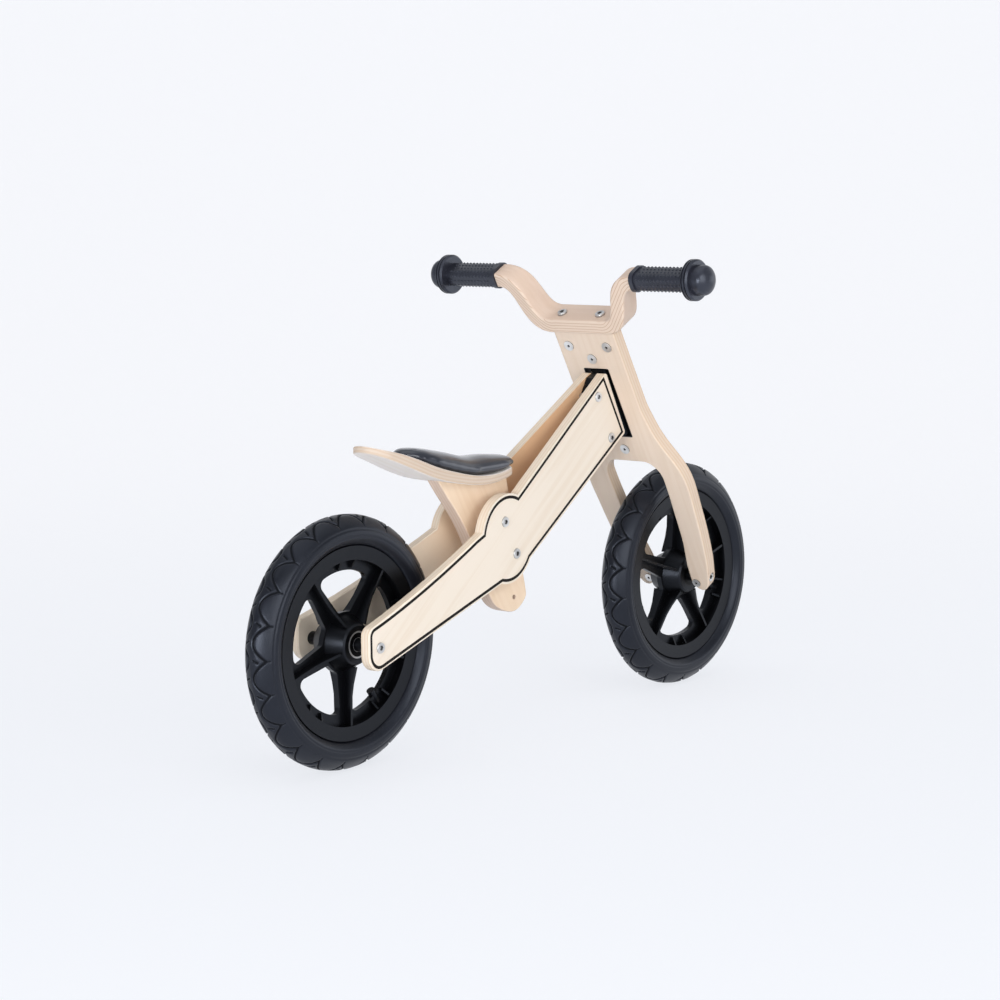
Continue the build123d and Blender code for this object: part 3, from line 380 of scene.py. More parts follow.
# Painted shade in the crevices of the plated pieces, from an ambient occlusion node
CREVICE_REACH = 3.0 * MM
CREVICE_SHADE_TONE = (0.03, 0.03, 0.03)
CREVICE_BAND = (0.35, 0.85)
CREVICE_SAMPLES = 8


def paint_crevice_shade(tree, shader):
    """Paints shade into the sockets and corners of the plated pieces."""
    settings = {"samples": CREVICE_SAMPLES}
    crevice = add_node(tree, "ShaderNodeAmbientOcclusion", settings, Distance=CREVICE_REACH)
    bright = ease_node(tree, crevice.outputs["AO"], *CREVICE_BAND)
    plating = shader.inputs["Base Color"].links[0].from_socket
    tree.links.new(mix_node(tree, bright, CREVICE_SHADE_TONE, plating), shader.inputs["Base Color"])


paint_crevice_shade(zinc.node_tree, zinc_shader)

# Sealed bearing: a dark seal between two thin steel rings; the front's rings carry painted shade
SEAL_RADII = (8.6, 13.8)
SEAL_BLEND = 0.3
BEARING_ROUGHNESS = 0.35
BEARING_METAL = 0.85
SEAL_TONE = (0.004, 0.004, 0.005)
REAR_STEEL = (0.62, 0.62, 0.63)
# The front bearing's steel rings are painted near black as painted shade; the rear's keep their steel tone
FRONT_STEEL_PAINTED_SHADE = (0.02, 0.02, 0.022)


def sealed_bearing(name, ring_tone):
    material, tree, shader = start_material(name, BEARING_ROUGHNESS)
    position = add_node(tree, "ShaderNodeTexCoord").outputs["Object"]
    ahead = math_node(tree, "ABSOLUTE", dot_node(tree, position, (1, 0, 0)))
    ahead = math_node(tree, "SUBTRACT", ahead, AXLE_X * MM)
    above = math_node(tree, "SUBTRACT", dot_node(tree, position, (0, 0, 1)), WHEEL_RADIUS * MM)
    squares = [math_node(tree, "POWER", part, 2.0) for part in (ahead, above)]
    radius = math_node(tree, "SQRT", math_node(tree, "ADD", *squares))
    middle = sum(SEAL_RADII) / 2 * MM
    half = (SEAL_RADII[1] - SEAL_RADII[0]) / 2 * MM
    from_middle = math_node(tree, "ABSOLUTE", math_node(tree, "SUBTRACT", radius, middle))
    steel = ease_node(tree, from_middle, half, half + SEAL_BLEND * MM)
    tree.links.new(mix_node(tree, steel, SEAL_TONE, ring_tone), shader.inputs["Base Color"])
    shader.inputs["Metallic"].default_value = BEARING_METAL
    return material


bearings = {
    "rear": sealed_bearing("rear_bearing", REAR_STEEL),
    "front": sealed_bearing("front_bearing_shaded", FRONT_STEEL_PAINTED_SHADE),
}

# Painted shade and dull roughness in the grooves of the tyre tread
GROOVE_SHADE_TONE = (0.0012, 0.0012, 0.0016)
GROOVE_ROUGHNESS = 0.95
GROOVE_BAND = (0.2, 1.2)


def shade_and_dull_grooves(tree, shader):
    """The tread's cut attribute, in mm, paints shade into the grooves and makes them dull."""
    cut = add_node(tree, "ShaderNodeAttribute", {"attribute_name": "cut"}).outputs["Fac"]
    inside = ease_node(tree, cut, *GROOVE_BAND)
    rubber = shader.inputs["Base Color"].links[0].from_socket
    tree.links.new(mix_node(tree, inside, rubber, GROOVE_SHADE_TONE), shader.inputs["Base Color"])
    smooth = shader.inputs["Roughness"].links[0].from_socket
    dull = math_node(tree, "MULTIPLY", inside, GROOVE_ROUGHNESS)
    tree.links.new(math_node(tree, "MAXIMUM", smooth, dull), shader.inputs["Roughness"])


shade_and_dull_grooves(tyre_rubber.node_tree, tyre_shader)

# Plywood of the flat boards, each with its own grain
PLATE_GRAIN = 0.62
PLATE_DARK_PLIES = 3
BOARD_DARK_PLIES = 4
grain_level = math.cos(PLATE_GRAIN)
grain_rise = math.sin(PLATE_GRAIN)
painted_inner_shade = (PAINTED_BOUNCE_REAR, PAINTED_SHADE_FRONT)


def plate_ply(name, hand):
    """Side plate; hand is -1 on the right and 1 on the left; its inner face gets painted shade."""
    normal = Vector((math.sin(TOE), hand * math.cos(TOE), 0))
    inner_face = Vector((-AXLE_X, hand * PLATE_HALF_GAP, 0))
    grain = Vector((math.cos(TOE) * grain_level, -hand * math.sin(TOE) * grain_level, grain_rise))
    return flat_ply(
        name, PLATE_TONE, normal, inner_face, grain, PLATE_THICKNESS, PLATE_DARK_PLIES, painted_inner_shade
    )


ply_right = plate_ply("ply_right_plate", -1)
ply_left = plate_ply("ply_left_plate", 1)
ply_fork = flat_ply(
    "ply_fork", FORK_SHADED_TONE, fork_ahead, fork_origin, -fork_down, FORK_THICKNESS, BOARD_DARK_PLIES
)
post_grain = Vector((-0.5, 0, 0.866))
post_face = Vector((0, -FORK_THICKNESS / 2, 0))
ply_post = flat_ply(
    "ply_post",
    POST_BOUNCE_TONE,
    side,
    post_face,
    post_grain,
    FORK_THICKNESS,
    BOARD_DARK_PLIES,
    cut_tone=POST_SHADED_EDGE,
)

# Middle line of the bent handlebar and underside of the bent seat shell, in metres
PLY_PITCH = 0.002
BAR_SPAN = (0.0, 0.23)
BAR_RISE = (0.0, 0.12)
BAR_EDGE_BAND = (0.35, 0.75)
SHELL_SPAN = (-0.3, 0.0)
SHELL_RISE = (0.3, 0.4)
SHELL_EDGE_BAND = (0.88, 0.5)
bar_line = [
    (0.0, 0.033),
    (0.030, 0.033),
    (0.043, 0.033),
    (0.053, 0.0385),
    (0.064, 0.0515),
    (0.075, 0.0655),
    (0.086, 0.0795),
    (0.097, 0.0925),
    (0.107, 0.098),
    (0.150, 0.098),
    (0.230, 0.098),
]
seat_under = [
    (-0.294, 0.3675),
    (-0.277, 0.3605),
    (-0.256, 0.3525),
    (-0.223, 0.3395),
    (-0.188, 0.3270),
    (-0.150, 0.3185),
    (-0.113, 0.3133),
    (-0.070, 0.3140),
    (-0.036, 0.3198),
    (-0.017, 0.3240),
]


def handlebar_ply():
    material, tree, shader = start_material("ply_handlebar", WOOD_ROUGHNESS)
    position = add_node(tree, "ShaderNodeTexCoord").outputs["Object"]
    origin = tuple(fork_origin * MM)
    settings = {"operation": "SUBTRACT"}
    local = add_node(tree, "ShaderNodeVectorMath", settings, i0=position, i1=origin).outputs[0]
    reach = math_node(tree, "ABSOLUTE", dot_node(tree, local, side))
    height = dot_node(tree, local, -fork_down)
    depth = bent_depth(tree, reach, height, bar_line, BAR_SPAN, BAR_RISE)
    edge = ease_node(tree, facing_node(tree, fork_ahead), *BAR_EDGE_BAND)
    place = (depth, reach, dot_node(tree, local, fork_ahead))
    finish_wood(tree, shader, place, PLY_PITCH, edge, BAR_TONE, BAR_EDGE, GLUE_SHADE, GLUE_BAND)
    return material


def shell_ply():
    material, tree, shader = start_material("ply_seat_shell", WOOD_ROUGHNESS)
    position = add_node(tree, "ShaderNodeTexCoord").outputs["Object"]
    reach = dot_node(tree, position, (1, 0, 0))
    height = dot_node(tree, position, (0, 0, 1))
    depth = bent_depth(tree, reach, height, seat_under, SHELL_SPAN, SHELL_RISE)
    edge = ease_node(tree, facing_node(tree, (0, 0, 1)), *SHELL_EDGE_BAND)
    place = (depth, reach, dot_node(tree, position, side))
    finish_wood(tree, shader, place, PLY_PITCH, edge, SHELL_BOUNCE_TONE, SHELL_EDGE)
    return material


ply_bar = handlebar_ply()
ply_shell = shell_ply()

# Each node wears its own material, or else the one of its slot
by_slot = {
    "black_plastic": plastic,
    "tyre_rubber": tyre_rubber,
    "grip_rubber": grip_rubber,
    "black_vinyl": vinyl,
    "zinc_steel": zinc,
    "nylon": nylon,
    "tube_rubber": tube_rubber,
    "birch_plywood": ply_post,
}
by_node = {
    "right_side_plate": ply_right,
    "left_side_plate": ply_left,
    "fork_plate": ply_fork,
    "handlebar": ply_bar,
    "seat_shell": ply_shell,
}
for wheel, bearing in bearings.items():
    by_node[wheel + "_bearing_outer_rings"] = bearing
    by_node[wheel + "_bearing_inner_rings"] = bearing


def dress(target, material):
    target.data.materials.clear()
    target.data.materials.append(material)


for entry in frame["record"]["subparts"]:
    name = entry["node"]
    dress(nodes[name], by_node.get(name, by_slot[entry["material_slot"]]))


def make_piece(name, verts, faces, material, body, smooth=True):
    """New mesh piece from points in mm."""
    mesh = bpy.data.meshes.new(name)
    mesh.from_pydata([tuple(Vector(v) * MM) for v in verts], [], faces)
    mesh.validate()
    for polygon in mesh.polygons:
        polygon.use_smooth = smooth
    piece = bpy.data.objects.new(name, mesh)
    bpy.context.scene.collection.objects.link(piece)
    dress(piece, material)
    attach(piece, body)
    return piece


def curve_through(points, count):
    """Points at even parameter steps on a smooth line through the given points."""
    result = []
    spans = len(points) - 1
    for k in range(count + 1):
        place = k / count * spans
        i = min(int(place), spans - 1)
        t = place - i
        p0 = Vector(points[max(i - 1, 0)])
        p1 = Vector(points[i])
        p2 = Vector(points[i + 1])
        p3 = Vector(points[min(i + 2, spans)])
        square = p0 * 2 - p1 * 5 + p2 * 4 - p3
        cube = p1 * 3 - p0 - p2 * 3 + p3
        result.append(0.5 * (p1 * 2 + (p2 - p0) * t + square * t**2 + cube * t**3))
    return result


# Treaded tyre: the section of the solid with scallops cut into its shoulders
PITCHES = 22
STEPS = 36
TREAD_RADIUS = 141.0
PITCH_LENGTH = 2 * math.pi * TREAD_RADIUS / PITCHES
SEAM_RADIUS = 113.8
SEAM_HALF = 11.5
BEAD_RADIUS = 103.5
TYRE_WALL = 3.6
# Radius and half width, from the crown down the flank to the seam
tyre_flank = [
    (WHEEL_RADIUS, 0.0),
    (147.6, 7.5),
    (142.5, 14.4),
    (134.5, 20.4),
    (123.5, 22.0),
    (116.0, 16.5),
    (SEAM_RADIUS, SEAM_HALF),
]
# Radius and half width, from the bead up the inside to the crown
tyre_lining = [
    (BEAD_RADIUS, SEAM_HALF),
    (BEAD_RADIUS, SEAM_HALF - TYRE_WALL),
    (SEAM_RADIUS, SEAM_HALF - TYRE_WALL),
    (123.5, 18.4),
    (139.5, 12.0),
    (144.0, 0.0),
]
FLANK_POINTS = 240
FINE_STEP = 1.1
FINE_REACH = 40.0
COARSE_STEP = 1.7
LEAST_STEP = 0.8
CUSP_REACH = 19.5
SCALLOP_RISE = 17.0
CUSP_SIPE = (17.0, 25.0)
CROWN_DASH = (3.0, 10.0)
DASH_MIDDLE = 6.0
DASH_SLANT = 0.4
RING_LINES = (28.0, 36.0)
# Half width and depth of each kind of groove
SCALLOP_GROOVE = (1.4, 2.2)
SIPE_GROOVE = (1.1, 1.6)
DASH_GROOVE = (1.3, 2.0)
RING_GROOVE = (0.9, 0.7)
# The left shoulder's scallops lie half a pitch from the right's
STAGGER = 0.5
FRONT_TURN = 0.11


def groove(distance, half, depth):
    """Depth of a round-bottomed groove at a distance from its line."""
    near = abs(distance) / half
    return depth * max(0.0, 1 - near * near)


def tread_cut(turn, reach):
    """Depth cut at a share of a pitch and a distance from the crown, in mm."""
    share = turn % 1.0
    line = CUSP_REACH - SCALLOP_RISE * math.sin(math.pi * share)
    slope = SCALLOP_RISE * math.pi * math.cos(math.pi * share) / PITCH_LENGTH
    cut = groove((reach - line) / math.hypot(1, slope), *SCALLOP_GROOVE)
    from_cusp = ((share + 0.5) % 1.0 - 0.5) * PITCH_LENGTH
    if CUSP_SIPE[0] < reach < CUSP_SIPE[1]:
        cut = max(cut, groove(from_cusp, *SIPE_GROOVE))
    if CROWN_DASH[0] < reach < CROWN_DASH[1]:
        cut = max(cut, groove(from_cusp - (reach - DASH_MIDDLE) * DASH_SLANT, *DASH_GROOVE))
    for ring in RING_LINES:
        cut = max(cut, groove(reach - ring, *RING_GROOVE))
    return cut


def flank_stations():
    """Radius, width, outward direction and distance from the crown, from the crown to the seam."""
    curve = curve_through([(y, r, 0) for r, y in tyre_flank], FLANK_POINTS)
    reaches = [0.0]
    for a, b in zip(curve, curve[1:]):
        reaches.append(reaches[-1] + (b - a).length)
    wanted = []
    here = 0.0
    while here < reaches[-1] - LEAST_STEP:
        wanted.append(here)
        here += FINE_STEP if here < FINE_REACH else COARSE_STEP
    wanted.append(reaches[-1])
    stations = []
    k = 0
    for target in wanted:
        while k < len(reaches) - 2 and reaches[k + 1] < target:
            k += 1
        share = (target - reaches[k]) / (reaches[k + 1] - reaches[k])
        point = curve[k].lerp(curve[k + 1], share)
        ahead = (curve[k + 1] - curve[k]).normalized()
        stations.append((point.y, point.x, ahead.x, -ahead.y, target))
    return stations


def make_tyre(name, node, body, centre_x, turn):
    half = flank_stations()
    section = [(r, -y, nr, -ny, reach, 0.0) for r, y, nr, ny, reach in reversed(half[1:])]
    section += [(r, y, nr, ny, reach, STAGGER) for r, y, nr, ny, reach in half]
    inner = tyre_lining + [(r, -y) for r, y in reversed(tyre_lining[:-1])]
    around = PITCHES * STEPS
    ring = len(section) + len(inner)
    verts = []
    cuts = []
    faces = []
    for j in range(around):
        angle = turn + 2 * math.pi * j / around
        c, s = math.cos(angle), math.sin(angle)
        for r, y, nr, ny, reach, stagger in section:
            cut = tread_cut(j / STEPS + stagger, reach)
            radius = r - nr * cut
            verts.append((centre_x + radius * c, y - ny * cut, WHEEL_RADIUS + radius * s))
            cuts.append(cut)
        for r, y in inner:
            verts.append((centre_x + r * c, y, WHEEL_RADIUS + r * s))
            cuts.append(0.0)
    for j in range(around):
        a = j * ring
        b = (j + 1) % around * ring
        for k in range(ring):
            m = (k + 1) % ring
            faces.append((a + k, a + m, b + m, b + k))
    piece = make_piece(name, verts, faces, tyre_rubber, body)
    piece.data.attributes.new("cut", "FLOAT", "POINT").data.foreach_set("value", cuts)
    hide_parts(node)


make_tyre("rear_tyre_tread", "rear_tyre", "rear_wheel", -AXLE_X, 0.0)
make_tyre("front_tyre_tread", "front_tyre", "front_wheel", AXLE_X, FRONT_TURN)

# Seat cushion: crowned pad, drawn in at its sides; place along the bike, half width and top
cushion_rows = [
    (-228.0, 10.0, 362.5),
    (-219.0, 17.0, 366.0),
    (-205.0, 24.0, 365.5),
    (-187.0, 28.0, 362.5),
    (-151.0, 29.0, 354.5),
    (-115.0, 28.5, 346.5),
    (-77.0, 26.5, 345.5),
    (-50.0, 24.5, 344.0),
    (-40.0, 22.5, 343.2),
    (-33.0, 19.5, 342.0),
]
# Top of the seat shell: place along the bike and height
shell_top = [
    (-294.0, 376.5),
    (-277.0, 370.0),
    (-256.0, 364.5),
    (-223.0, 354.0),
    (-188.0, 341.5),
    (-150.0, 331.5),
    (-113.0, 324.5),
    (-70.0, 324.0),
    (-36.0, 329.3),
    (-17.0, 333.0),
]


def shell_height(x):
    for (x0, z0), (x1, z1) in zip(shell_top, shell_top[1:]):
        if x0 <= x <= x1:
            return z0 + (z1 - z0) * (x - x0) / (x1 - x0)
    return shell_top[-1][1]


# Share of the half width and of the height, from the pad's foot to its top
PAD_PROFILE = (
    (0.90, 0.0),
    (0.98, 0.12),
    (1.0, 0.30),
    (0.985, 0.46),
    (0.93, 0.60),
    (0.84, 0.72),
    (0.70, 0.83),
    (0.52, 0.92),
    (0.32, 0.975),
    (0.15, 0.995),
    (0.0, 1.0),
)
PAD_VOXEL = 0.004
PAD_FRAMES = 20
PAD_SWELL = 1.8 * MM
PAD_SLACK = 1.0
PAD_EASE = 9
PAD_EASE_SHARE = 0.5
PAD_FOOT = 3.0 * MM
PAD_PRESSURE = 4.0
PAD_STATIONS = 48
PAD_LIFT = 0.3
PAD_CLEAR = 0.2
PAD_LEAST = 2.5


def bake(piece):
    """Writes the piece's modifiers into its mesh."""
    done = piece.evaluated_get(bpy.context.evaluated_depsgraph_get())
    mesh = bpy.data.meshes.new_from_object(done)
    piece.modifiers.clear()
    piece.data = mesh


def swell(piece):
    """Cloth under pressure, held along its foot; no point moves further than PAD_SWELL."""
    even = piece.modifiers.new("even", "REMESH")
    even.mode = "VOXEL"
    even.voxel_size = PAD_VOXEL
    bake(piece)
    start = [v.co.copy() for v in piece.data.vertices]
    foot = piece.vertex_groups.new(name="foot")
    low = [k for k, p in enumerate(start) if p.z < shell_height(p.x / MM) * MM + PAD_FOOT]
    foot.add(low, 1.0, "REPLACE")
    cloth = piece.modifiers.new("cover", "CLOTH")
    cloth.settings.vertex_group_mass = "foot"
    cloth.settings.use_pressure = True
    cloth.settings.uniform_pressure_force = PAD_PRESSURE
    cloth.settings.effector_weights.gravity = 0.0
    for step in range(1, PAD_FRAMES + 1):
        bpy.context.scene.frame_set(step)
    bake(piece)
    bpy.context.scene.frame_set(1)
    for vertex, place in zip(piece.data.vertices, start):
        moved = vertex.co - place
        if moved.length > PAD_SWELL:
            vertex.co = place + moved.normalized() * PAD_SWELL
        floor_z = (shell_height(vertex.co.x / MM) + PAD_CLEAR) * MM
        vertex.co.z = max(vertex.co.z, floor_z)


def make_cushion():
    stations = curve_through(cushion_rows, PAD_STATIONS)
    loop = [*PAD_PROFILE, *[(-w, h) for w, h in reversed(PAD_PROFILE[:-1])]]
    verts = []
    faces = []
    for x, half, top in stations:
        base = shell_height(x) + PAD_LIFT
        tall = max(top - base - PAD_SLACK, PAD_LEAST)
        for width, height in loop:
            verts.append((x, half * width, base + tall * height))
    ring = len(loop)
    for i in range(len(stations) - 1):
        for k in range(ring):
            m = (k + 1) % ring
            a = i * ring
            b = (i + 1) * ring
            faces.append((a + k, a + m, b + m, b + k))
    faces.append(tuple(range(ring)))
    faces.append(tuple(reversed(range((len(stations) - 1) * ring, len(stations) * ring))))
    piece = make_piece("seat_cushion_pad", verts, faces, vinyl, "frame")
    swell(piece)
    dress(piece, vinyl)
    for polygon in piece.data.polygons:
        polygon.use_smooth = True
    ease = piece.modifiers.new("ease", "SMOOTH")
    ease.factor = PAD_EASE_SHARE
    ease.iterations = PAD_EASE
    rounding = piece.modifiers.new("round", "SUBSURF")
    rounding.levels = 1
    rounding.render_levels = 1
    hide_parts("seat_cushion")


make_cushion()

# Stripe printed near the outline of each side plate, in the plate's own plane
STRIPE_HALF = 1.85
STRIPE_LIFT = 0.06
INK_THICKNESS = 0.05
MITER_LIMIT = 0.35
bump_centre = Vector((257.5, 243.5))
STRIPE_BUMP = 51.0
UNDER_STEPS = 24
OVER_STEPS = 20
heel_centre = Vector((-1.5, 142.5))
HEEL_RADIUS = 15.9
HEEL_TURN = (math.radians(-74), math.radians(-180))
HEEL_STEPS = 12
rear_centre = Vector((-8.5, 162.9))
REAR_RADIUS = 8.9
REAR_TURN = (math.radians(180), math.radians(108))
REAR_STEPS = 8
TOP_STEPS = 16


def arc_points(centre, radius, start, end, count):
    result = []
    for k in range(count + 1):
        angle = start + (end - start) * k / count
        result.append(centre + Vector((math.cos(angle), math.sin(angle))) * radius)
    return result


def line_circle(a, b, centre, radius, pick):
    """Where the line from a to b meets a circle; pick chooses the meeting."""
    along = (b - a).normalized()
    middle = (centre - a).dot(along)
    reach = math.sqrt(max(radius**2 - (centre - a).cross(along) ** 2, 0.0))
    return a + along * (middle + pick * reach)


def angle_of(point, centre):
    return math.atan2(point.y - centre.y, point.x - centre.x)


def stripe_path():
    peak = Vector((472.6, 423.6))
    nose = Vector((517.0, 352.0))
    below = Vector((305.6, 219.5))
    under_front = Vector((259.0, 198.5))
    heel = Vector((0.5, 126.6))
    top_rear = Vector((-9.5, 171.6))
    top_mid = Vector((95.5, 207.4))
    top_front = Vector((205.6, 253.7))
    shoulder = Vector((274.9, 287.0))
    path = [peak, nose]
    meet = line_circle(nose, below, bump_centre, STRIPE_BUMP, -1)
    leave = line_circle(heel, under_front, bump_centre, STRIPE_BUMP, -1)
    under = (angle_of(meet, bump_centre), angle_of(leave, bump_centre))
    path += arc_points(bump_centre, STRIPE_BUMP, *under, UNDER_STEPS)
    path += arc_points(heel_centre, HEEL_RADIUS, *HEEL_TURN, HEEL_STEPS)
    path += arc_points(rear_centre, REAR_RADIUS, *REAR_TURN, REAR_STEPS)
    for k in range(1, TOP_STEPS + 1):
        t = k / TOP_STEPS
        path.append(
            top_rear * (1 - t) * (1 - 2 * t) + top_mid * 4 * t * (1 - t) + top_front * t * (2 * t - 1)
        )
    enter = path.pop()
    start = angle_of(enter, bump_centre)
    finish = angle_of(line_circle(peak, shoulder, bump_centre, STRIPE_BUMP, -1), bump_centre)
    path += arc_points(bump_centre, STRIPE_BUMP, start, finish, OVER_STEPS)
    return path


def make_stripe(name, hand):
    path = stripe_path()
    count = len(path)
    verts = []
    faces = []
    for k, point in enumerate(path):
        before = (point - path[k - 1]).normalized()
        after = (path[(k + 1) % count] - point).normalized()
        normal = Vector((-(before.y + after.y), before.x + after.x)).normalized()
        miter = STRIPE_HALF / max(normal.dot(Vector((-before.y, before.x))), MITER_LIMIT)
        for end in (-1, 1):
            s, z = point + normal * miter * end
            out = PLATE_THICKNESS + STRIPE_LIFT
            x = -AXLE_X + s * math.cos(TOE) + out * math.sin(TOE)
            y = PLATE_HALF_GAP - s * math.sin(TOE) + out * math.cos(TOE)
            verts.append((x, hand * y, z))
    for k in range(count):
        a = 2 * k
        b = 2 * ((k + 1) % count)
        faces.append((a, a + 1, b + 1, b) if hand < 0 else (a, b, b + 1, a + 1))
    piece = make_piece(name, verts, faces, stripe_ink, "frame", smooth=False)
    thick = piece.modifiers.new("ink", "SOLIDIFY")
    thick.thickness = INK_THICKNESS * MM
    thick.offset = 0


make_stripe("right_plate_stripe", -1)
make_stripe("left_plate_stripe", 1)

# Grip dots: rows of small raised domes around each sleeve
GRIP_HALF_N = 15.0
GRIP_HALF_W = 12.0
GRIP_CORNER = 9.0
GRIP_UP = 98.0
DOT_RADIUS = 1.6
DOT_HEIGHT = 1.2
DOT_ROWS = 14
DOT_COLUMNS = 12
DOT_START = 119.0
DOT_END = 185.0
DOT_SIDES = 8
# Share of the radius and of the height at each ring of a dot
DOT_RINGS = ((1.0, -0.15), (0.75, 0.55))


def sleeve_point(share):
    """Point and outward direction on the sleeve's rounded section."""
    flat_n = 2 * (GRIP_HALF_N - GRIP_CORNER)
    flat_w = 2 * (GRIP_HALF_W - GRIP_CORNER)
    quarter = math.pi / 2 * GRIP_CORNER
    pieces = [flat_w, quarter, flat_n, quarter] * 2
    place = share * sum(pieces)
    index = 0
    while place > pieces[index]:
        place -= pieces[index]
        index += 1
    face = index // 2
    if index % 2:
        turn = face * math.pi / 2 + place / GRIP_CORNER
        out = (math.cos(turn), math.sin(turn))
        toward_n, toward_w = [(1, 1), (-1, 1), (-1, -1), (1, -1)][face]
        n = toward_n * flat_n / 2 + out[0] * GRIP_CORNER
        return (n, toward_w * flat_w / 2 + out[1] * GRIP_CORNER), out
    out = [(1, 0), (0, 1), (-1, 0), (0, -1)][face]
    slide = place - pieces[index] / 2
    along = (-out[1], out[0])
    size = GRIP_HALF_N if face % 2 == 0 else GRIP_HALF_W
    return (out[0] * size + along[0] * slide, out[1] * size + along[1] * slide), out


def make_dots(name, hand):
    verts = []
    faces = []
    for row in range(DOT_ROWS):
        (n, up), (out_n, out_up) = sleeve_point((row + 0.5) / DOT_ROWS)
        outward = fork_ahead * out_n - fork_down * out_up
        around = outward.cross(side).normalized()
        shift = 0.5 if row % 2 else 0.0
        for column in range(DOT_COLUMNS):
            u = DOT_START + (DOT_END - DOT_START) * (column + shift) / DOT_COLUMNS
            centre = fork_point(hand * u, -GRIP_UP - up, FORK_THICKNESS / 2 + n)
            foot = len(verts)
            for size, lift in DOT_RINGS:
                for k in range(DOT_SIDES):
                    angle = 2 * math.pi * k / DOT_SIDES
                    flat = side * math.cos(angle) + around * math.sin(angle)
                    verts.append(centre + flat * DOT_RADIUS * size + outward * DOT_HEIGHT * lift)
            verts.append(centre + outward * DOT_HEIGHT)
            ring = foot + DOT_SIDES
            top = ring + DOT_SIDES
            for k in range(DOT_SIDES):
                m = (k + 1) % DOT_SIDES
                faces.append((foot + k, foot + m, ring + m, ring + k))
                faces.append((ring + k, ring + m, top))
            faces.append(tuple(foot + k for k in reversed(range(DOT_SIDES))))
    make_piece(name, verts, faces, grip_rubber, "fork")


make_dots("left_grip_dots", 1)
make_dots("right_grip_dots", -1)

# Camera behind the bike and to its right
camera_place = Vector((-2450.0, -2018.0, 683.7)) * MM
CAMERA_YAW = math.radians(50.057)
CAMERA_PITCH = math.radians(-7.223)
CAMERA_ROLL = math.radians(-0.467)
FOCAL_PIXELS = 2569.43
IMAGE_PIXELS = 1000
SENSOR_WIDTH = 36.0
ground_ahead = Vector((math.sin(CAMERA_YAW), math.cos(CAMERA_YAW), 0))
level_right = Vector((math.cos(CAMERA_YAW), -math.sin(CAMERA_YAW), 0))


def make_camera():
    look = Vector(
        (
            math.sin(CAMERA_YAW) * math.cos(CAMERA_PITCH),
            math.cos(CAMERA_YAW) * math.cos(CAMERA_PITCH),
            math.sin(CAMERA_PITCH),
        )
    )
    level_up = level_right.cross(look)
    right = level_right * math.cos(CAMERA_ROLL) + level_up * math.sin(CAMERA_ROLL)
    up = level_up * math.cos(CAMERA_ROLL) - level_right * math.sin(CAMERA_ROLL)
    data = bpy.data.cameras.new("camera")
    data.sensor_width = SENSOR_WIDTH
    data.lens = SENSOR_WIDTH * FOCAL_PIXELS / IMAGE_PIXELS
    camera = bpy.data.objects.new("camera", data)
    turn = Matrix((right, up, -look)).transposed().to_4x4()
    camera.matrix_world = Matrix.Translation(camera_place) @ turn
    bpy.context.scene.collection.objects.link(camera)
    bpy.context.scene.camera = camera


make_camera()

# Pale floor and backdrop in one sweep, the backdrop behind the bike as the camera looks; sizes in m
FLOOR_PAINT = (0.88, 0.90, 0.935)
FLOOR_ROUGHNESS = 0.7
FLOOR_GLOSS = 0.2
FLOOR_LIT_SHARE = 0.22
# Glow tones near and far: a painted light gradient across the floor and backdrop
FLOOR_TONES = ((0.92, 0.94, 0.99), (1.03, 1.04, 1.08))
FLOOR_TONE_SPAN = (-0.8, 3.4)
FLOOR_NEAR = -30.0
FLOOR_NEAR_WIDE = 60.0
FLOOR_FAR = 3.2
FLOOR_FAR_WIDE = 16.0
SWEEP_RADIUS = 1.6
SWEEP_HIGH = 5.0
SWEEP_STEPS = 16


def floor_look():
    """Where it is seen it mostly glows, darker near the camera and paler towards the backdrop as a painted
    light gradient, with enough lit paint to keep the shadow.
    """
    material, tree, shader = start_material("floor", FLOOR_ROUGHNESS)
    shader.inputs["Base Color"].default_value = (*FLOOR_PAINT, 1)
    shader.inputs["Specular IOR Level"].default_value = FLOOR_GLOSS
    place = add_node(tree, "ShaderNodeTexCoord").outputs["Object"]
    reach = ease_node(tree, dot_node(tree, place, ground_ahead), *FLOOR_TONE_SPAN)
    tone = mix_node(tree, reach, *FLOOR_TONES)
    glow = add_node(tree, "ShaderNodeEmission", None, Color=tone, Strength=1.0)
    ray = add_node(tree, "ShaderNodeLightPath").outputs
    seen = math_node(tree, "MAXIMUM", ray["Is Camera Ray"], ray["Is Glossy Ray"])
    seen = math_node(tree, "MAXIMUM", seen, ray["Is Transmission Ray"])
    share = math_node(tree, "MULTIPLY", seen, 1 - FLOOR_LIT_SHARE)
    blend = add_node(tree, "ShaderNodeMixShader", None, i0=share, i1=shader.outputs[0], i2=glow.outputs[0])
    tree.links.new(blend.outputs[0], tree.nodes["Material Output"].inputs["Surface"])
    return material


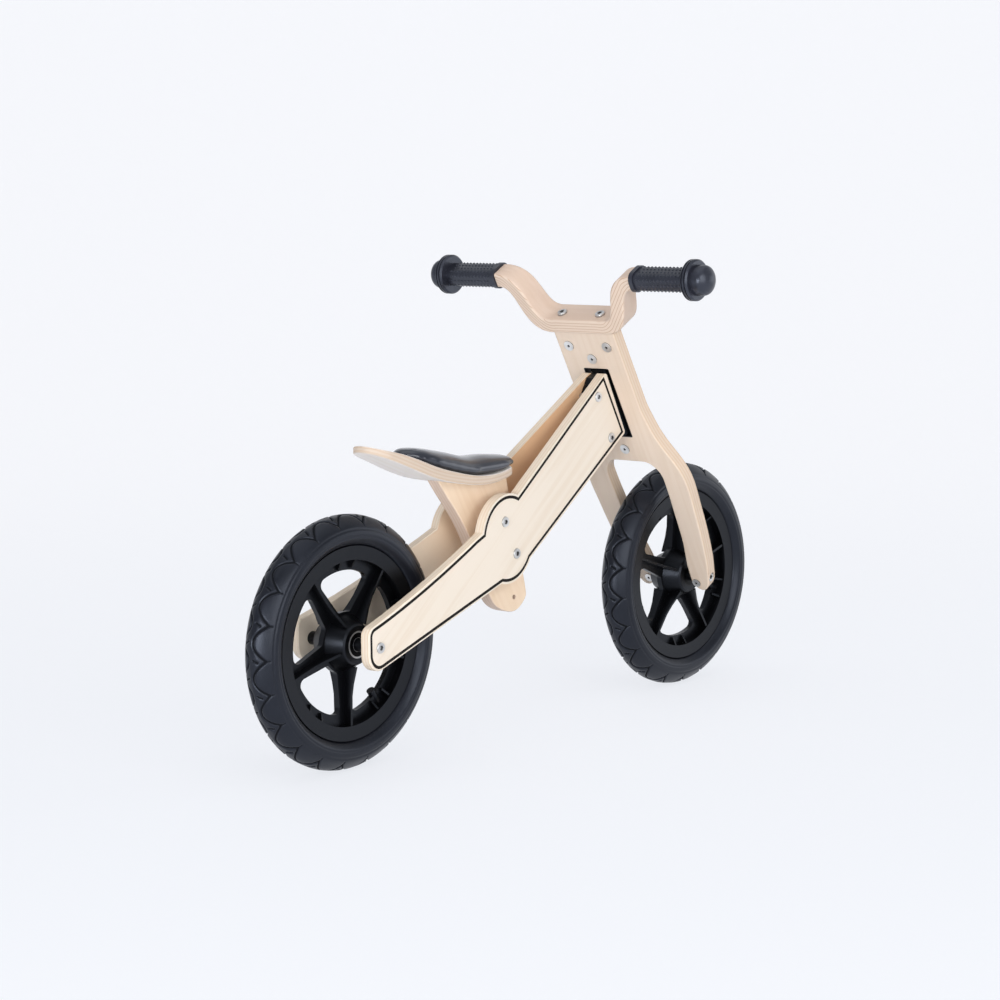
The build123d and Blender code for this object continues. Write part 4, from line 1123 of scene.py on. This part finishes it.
def make_floor():
    line = [(FLOOR_NEAR, 0.0, FLOOR_NEAR_WIDE), (FLOOR_FAR, 0.0, FLOOR_FAR_WIDE)]
    for k in range(1, SWEEP_STEPS + 1):
        angle = math.pi / 2 * k / SWEEP_STEPS
        ahead = FLOOR_FAR + SWEEP_RADIUS * math.sin(angle)
        line.append((ahead, SWEEP_RADIUS * (1 - math.cos(angle)), FLOOR_FAR_WIDE))
    line.append((FLOOR_FAR + SWEEP_RADIUS, SWEEP_HIGH, FLOOR_FAR_WIDE))
    verts = []
    for ahead, high, wide in line:
        for hand in (-1, 1):
            verts.append(tuple(ground_ahead * ahead + level_right * wide * hand + Vector((0, 0, high))))
    faces = [(2 * k, 2 * k + 1, 2 * k + 3, 2 * k + 2) for k in range(len(line) - 1)]
    mesh = bpy.data.meshes.new("floor")
    mesh.from_pydata(verts, [], faces)
    for polygon in mesh.polygons:
        polygon.use_smooth = True
    floor = bpy.data.objects.new("floor", mesh)
    bpy.context.scene.collection.objects.link(floor)
    dress(floor, floor_look())


make_floor()

# Soft room light, weaker behind the camera
SKY_TONE = (0.93, 0.96, 1.0)
SKY_SPAN = (-0.7, 0.7)
SKY_LEVELS = (0.26, 0.54)
bright_side = Vector((0.55, 0.46, 0.70))


def make_room_light():
    world = bpy.data.worlds.new("studio")
    bpy.context.scene.world = world
    world.use_nodes = True
    tree = world.node_tree
    sky = tree.nodes["Background"]
    sky.inputs["Color"].default_value = (*SKY_TONE, 1)
    ray = add_node(tree, "ShaderNodeTexCoord").outputs["Generated"]
    level = ease_node(tree, dot_node(tree, ray, bright_side), *SKY_SPAN, *SKY_LEVELS)
    tree.links.new(level, sky.inputs["Strength"])


make_room_light()

# Lamps: place, width and height in m, power in W and colour
bike_middle = Vector((0.0, 0.0, 0.3))
lamps = {
    "overhead": ((-0.3, -0.3, 3.2), (3.2, 3.2), 19.0, (1.0, 0.99, 0.97)),
    "right_key": ((-1.2, -3.3, 1.2), (2.6, 2.2), 62.0, (1.0, 0.985, 0.96)),
    "rear_fill": ((-3.1, -1.0, 0.5), (2.2, 0.9), 60.0, (0.98, 0.99, 1.0)),
    "front_glow": ((3.2, -2.7, 0.8), (2.4, 1.4), 13.0, (0.95, 0.97, 1.0)),
}


def add_light(name, place, size, power, colour):
    data = bpy.data.lights.new(name, "AREA")
    data.shape = "RECTANGLE"
    data.size, data.size_y = size
    data.energy = power
    data.color = colour
    lamp = bpy.data.objects.new(name, data)
    lamp.location = place
    lamp.rotation_euler = (bike_middle - Vector(place)).to_track_quat("-Z", "Y").to_euler()
    bpy.context.scene.collection.objects.link(lamp)


for name, settings in lamps.items():
    add_light(name, *settings)

bpy.context.scene.view_settings.view_transform = "Standard"
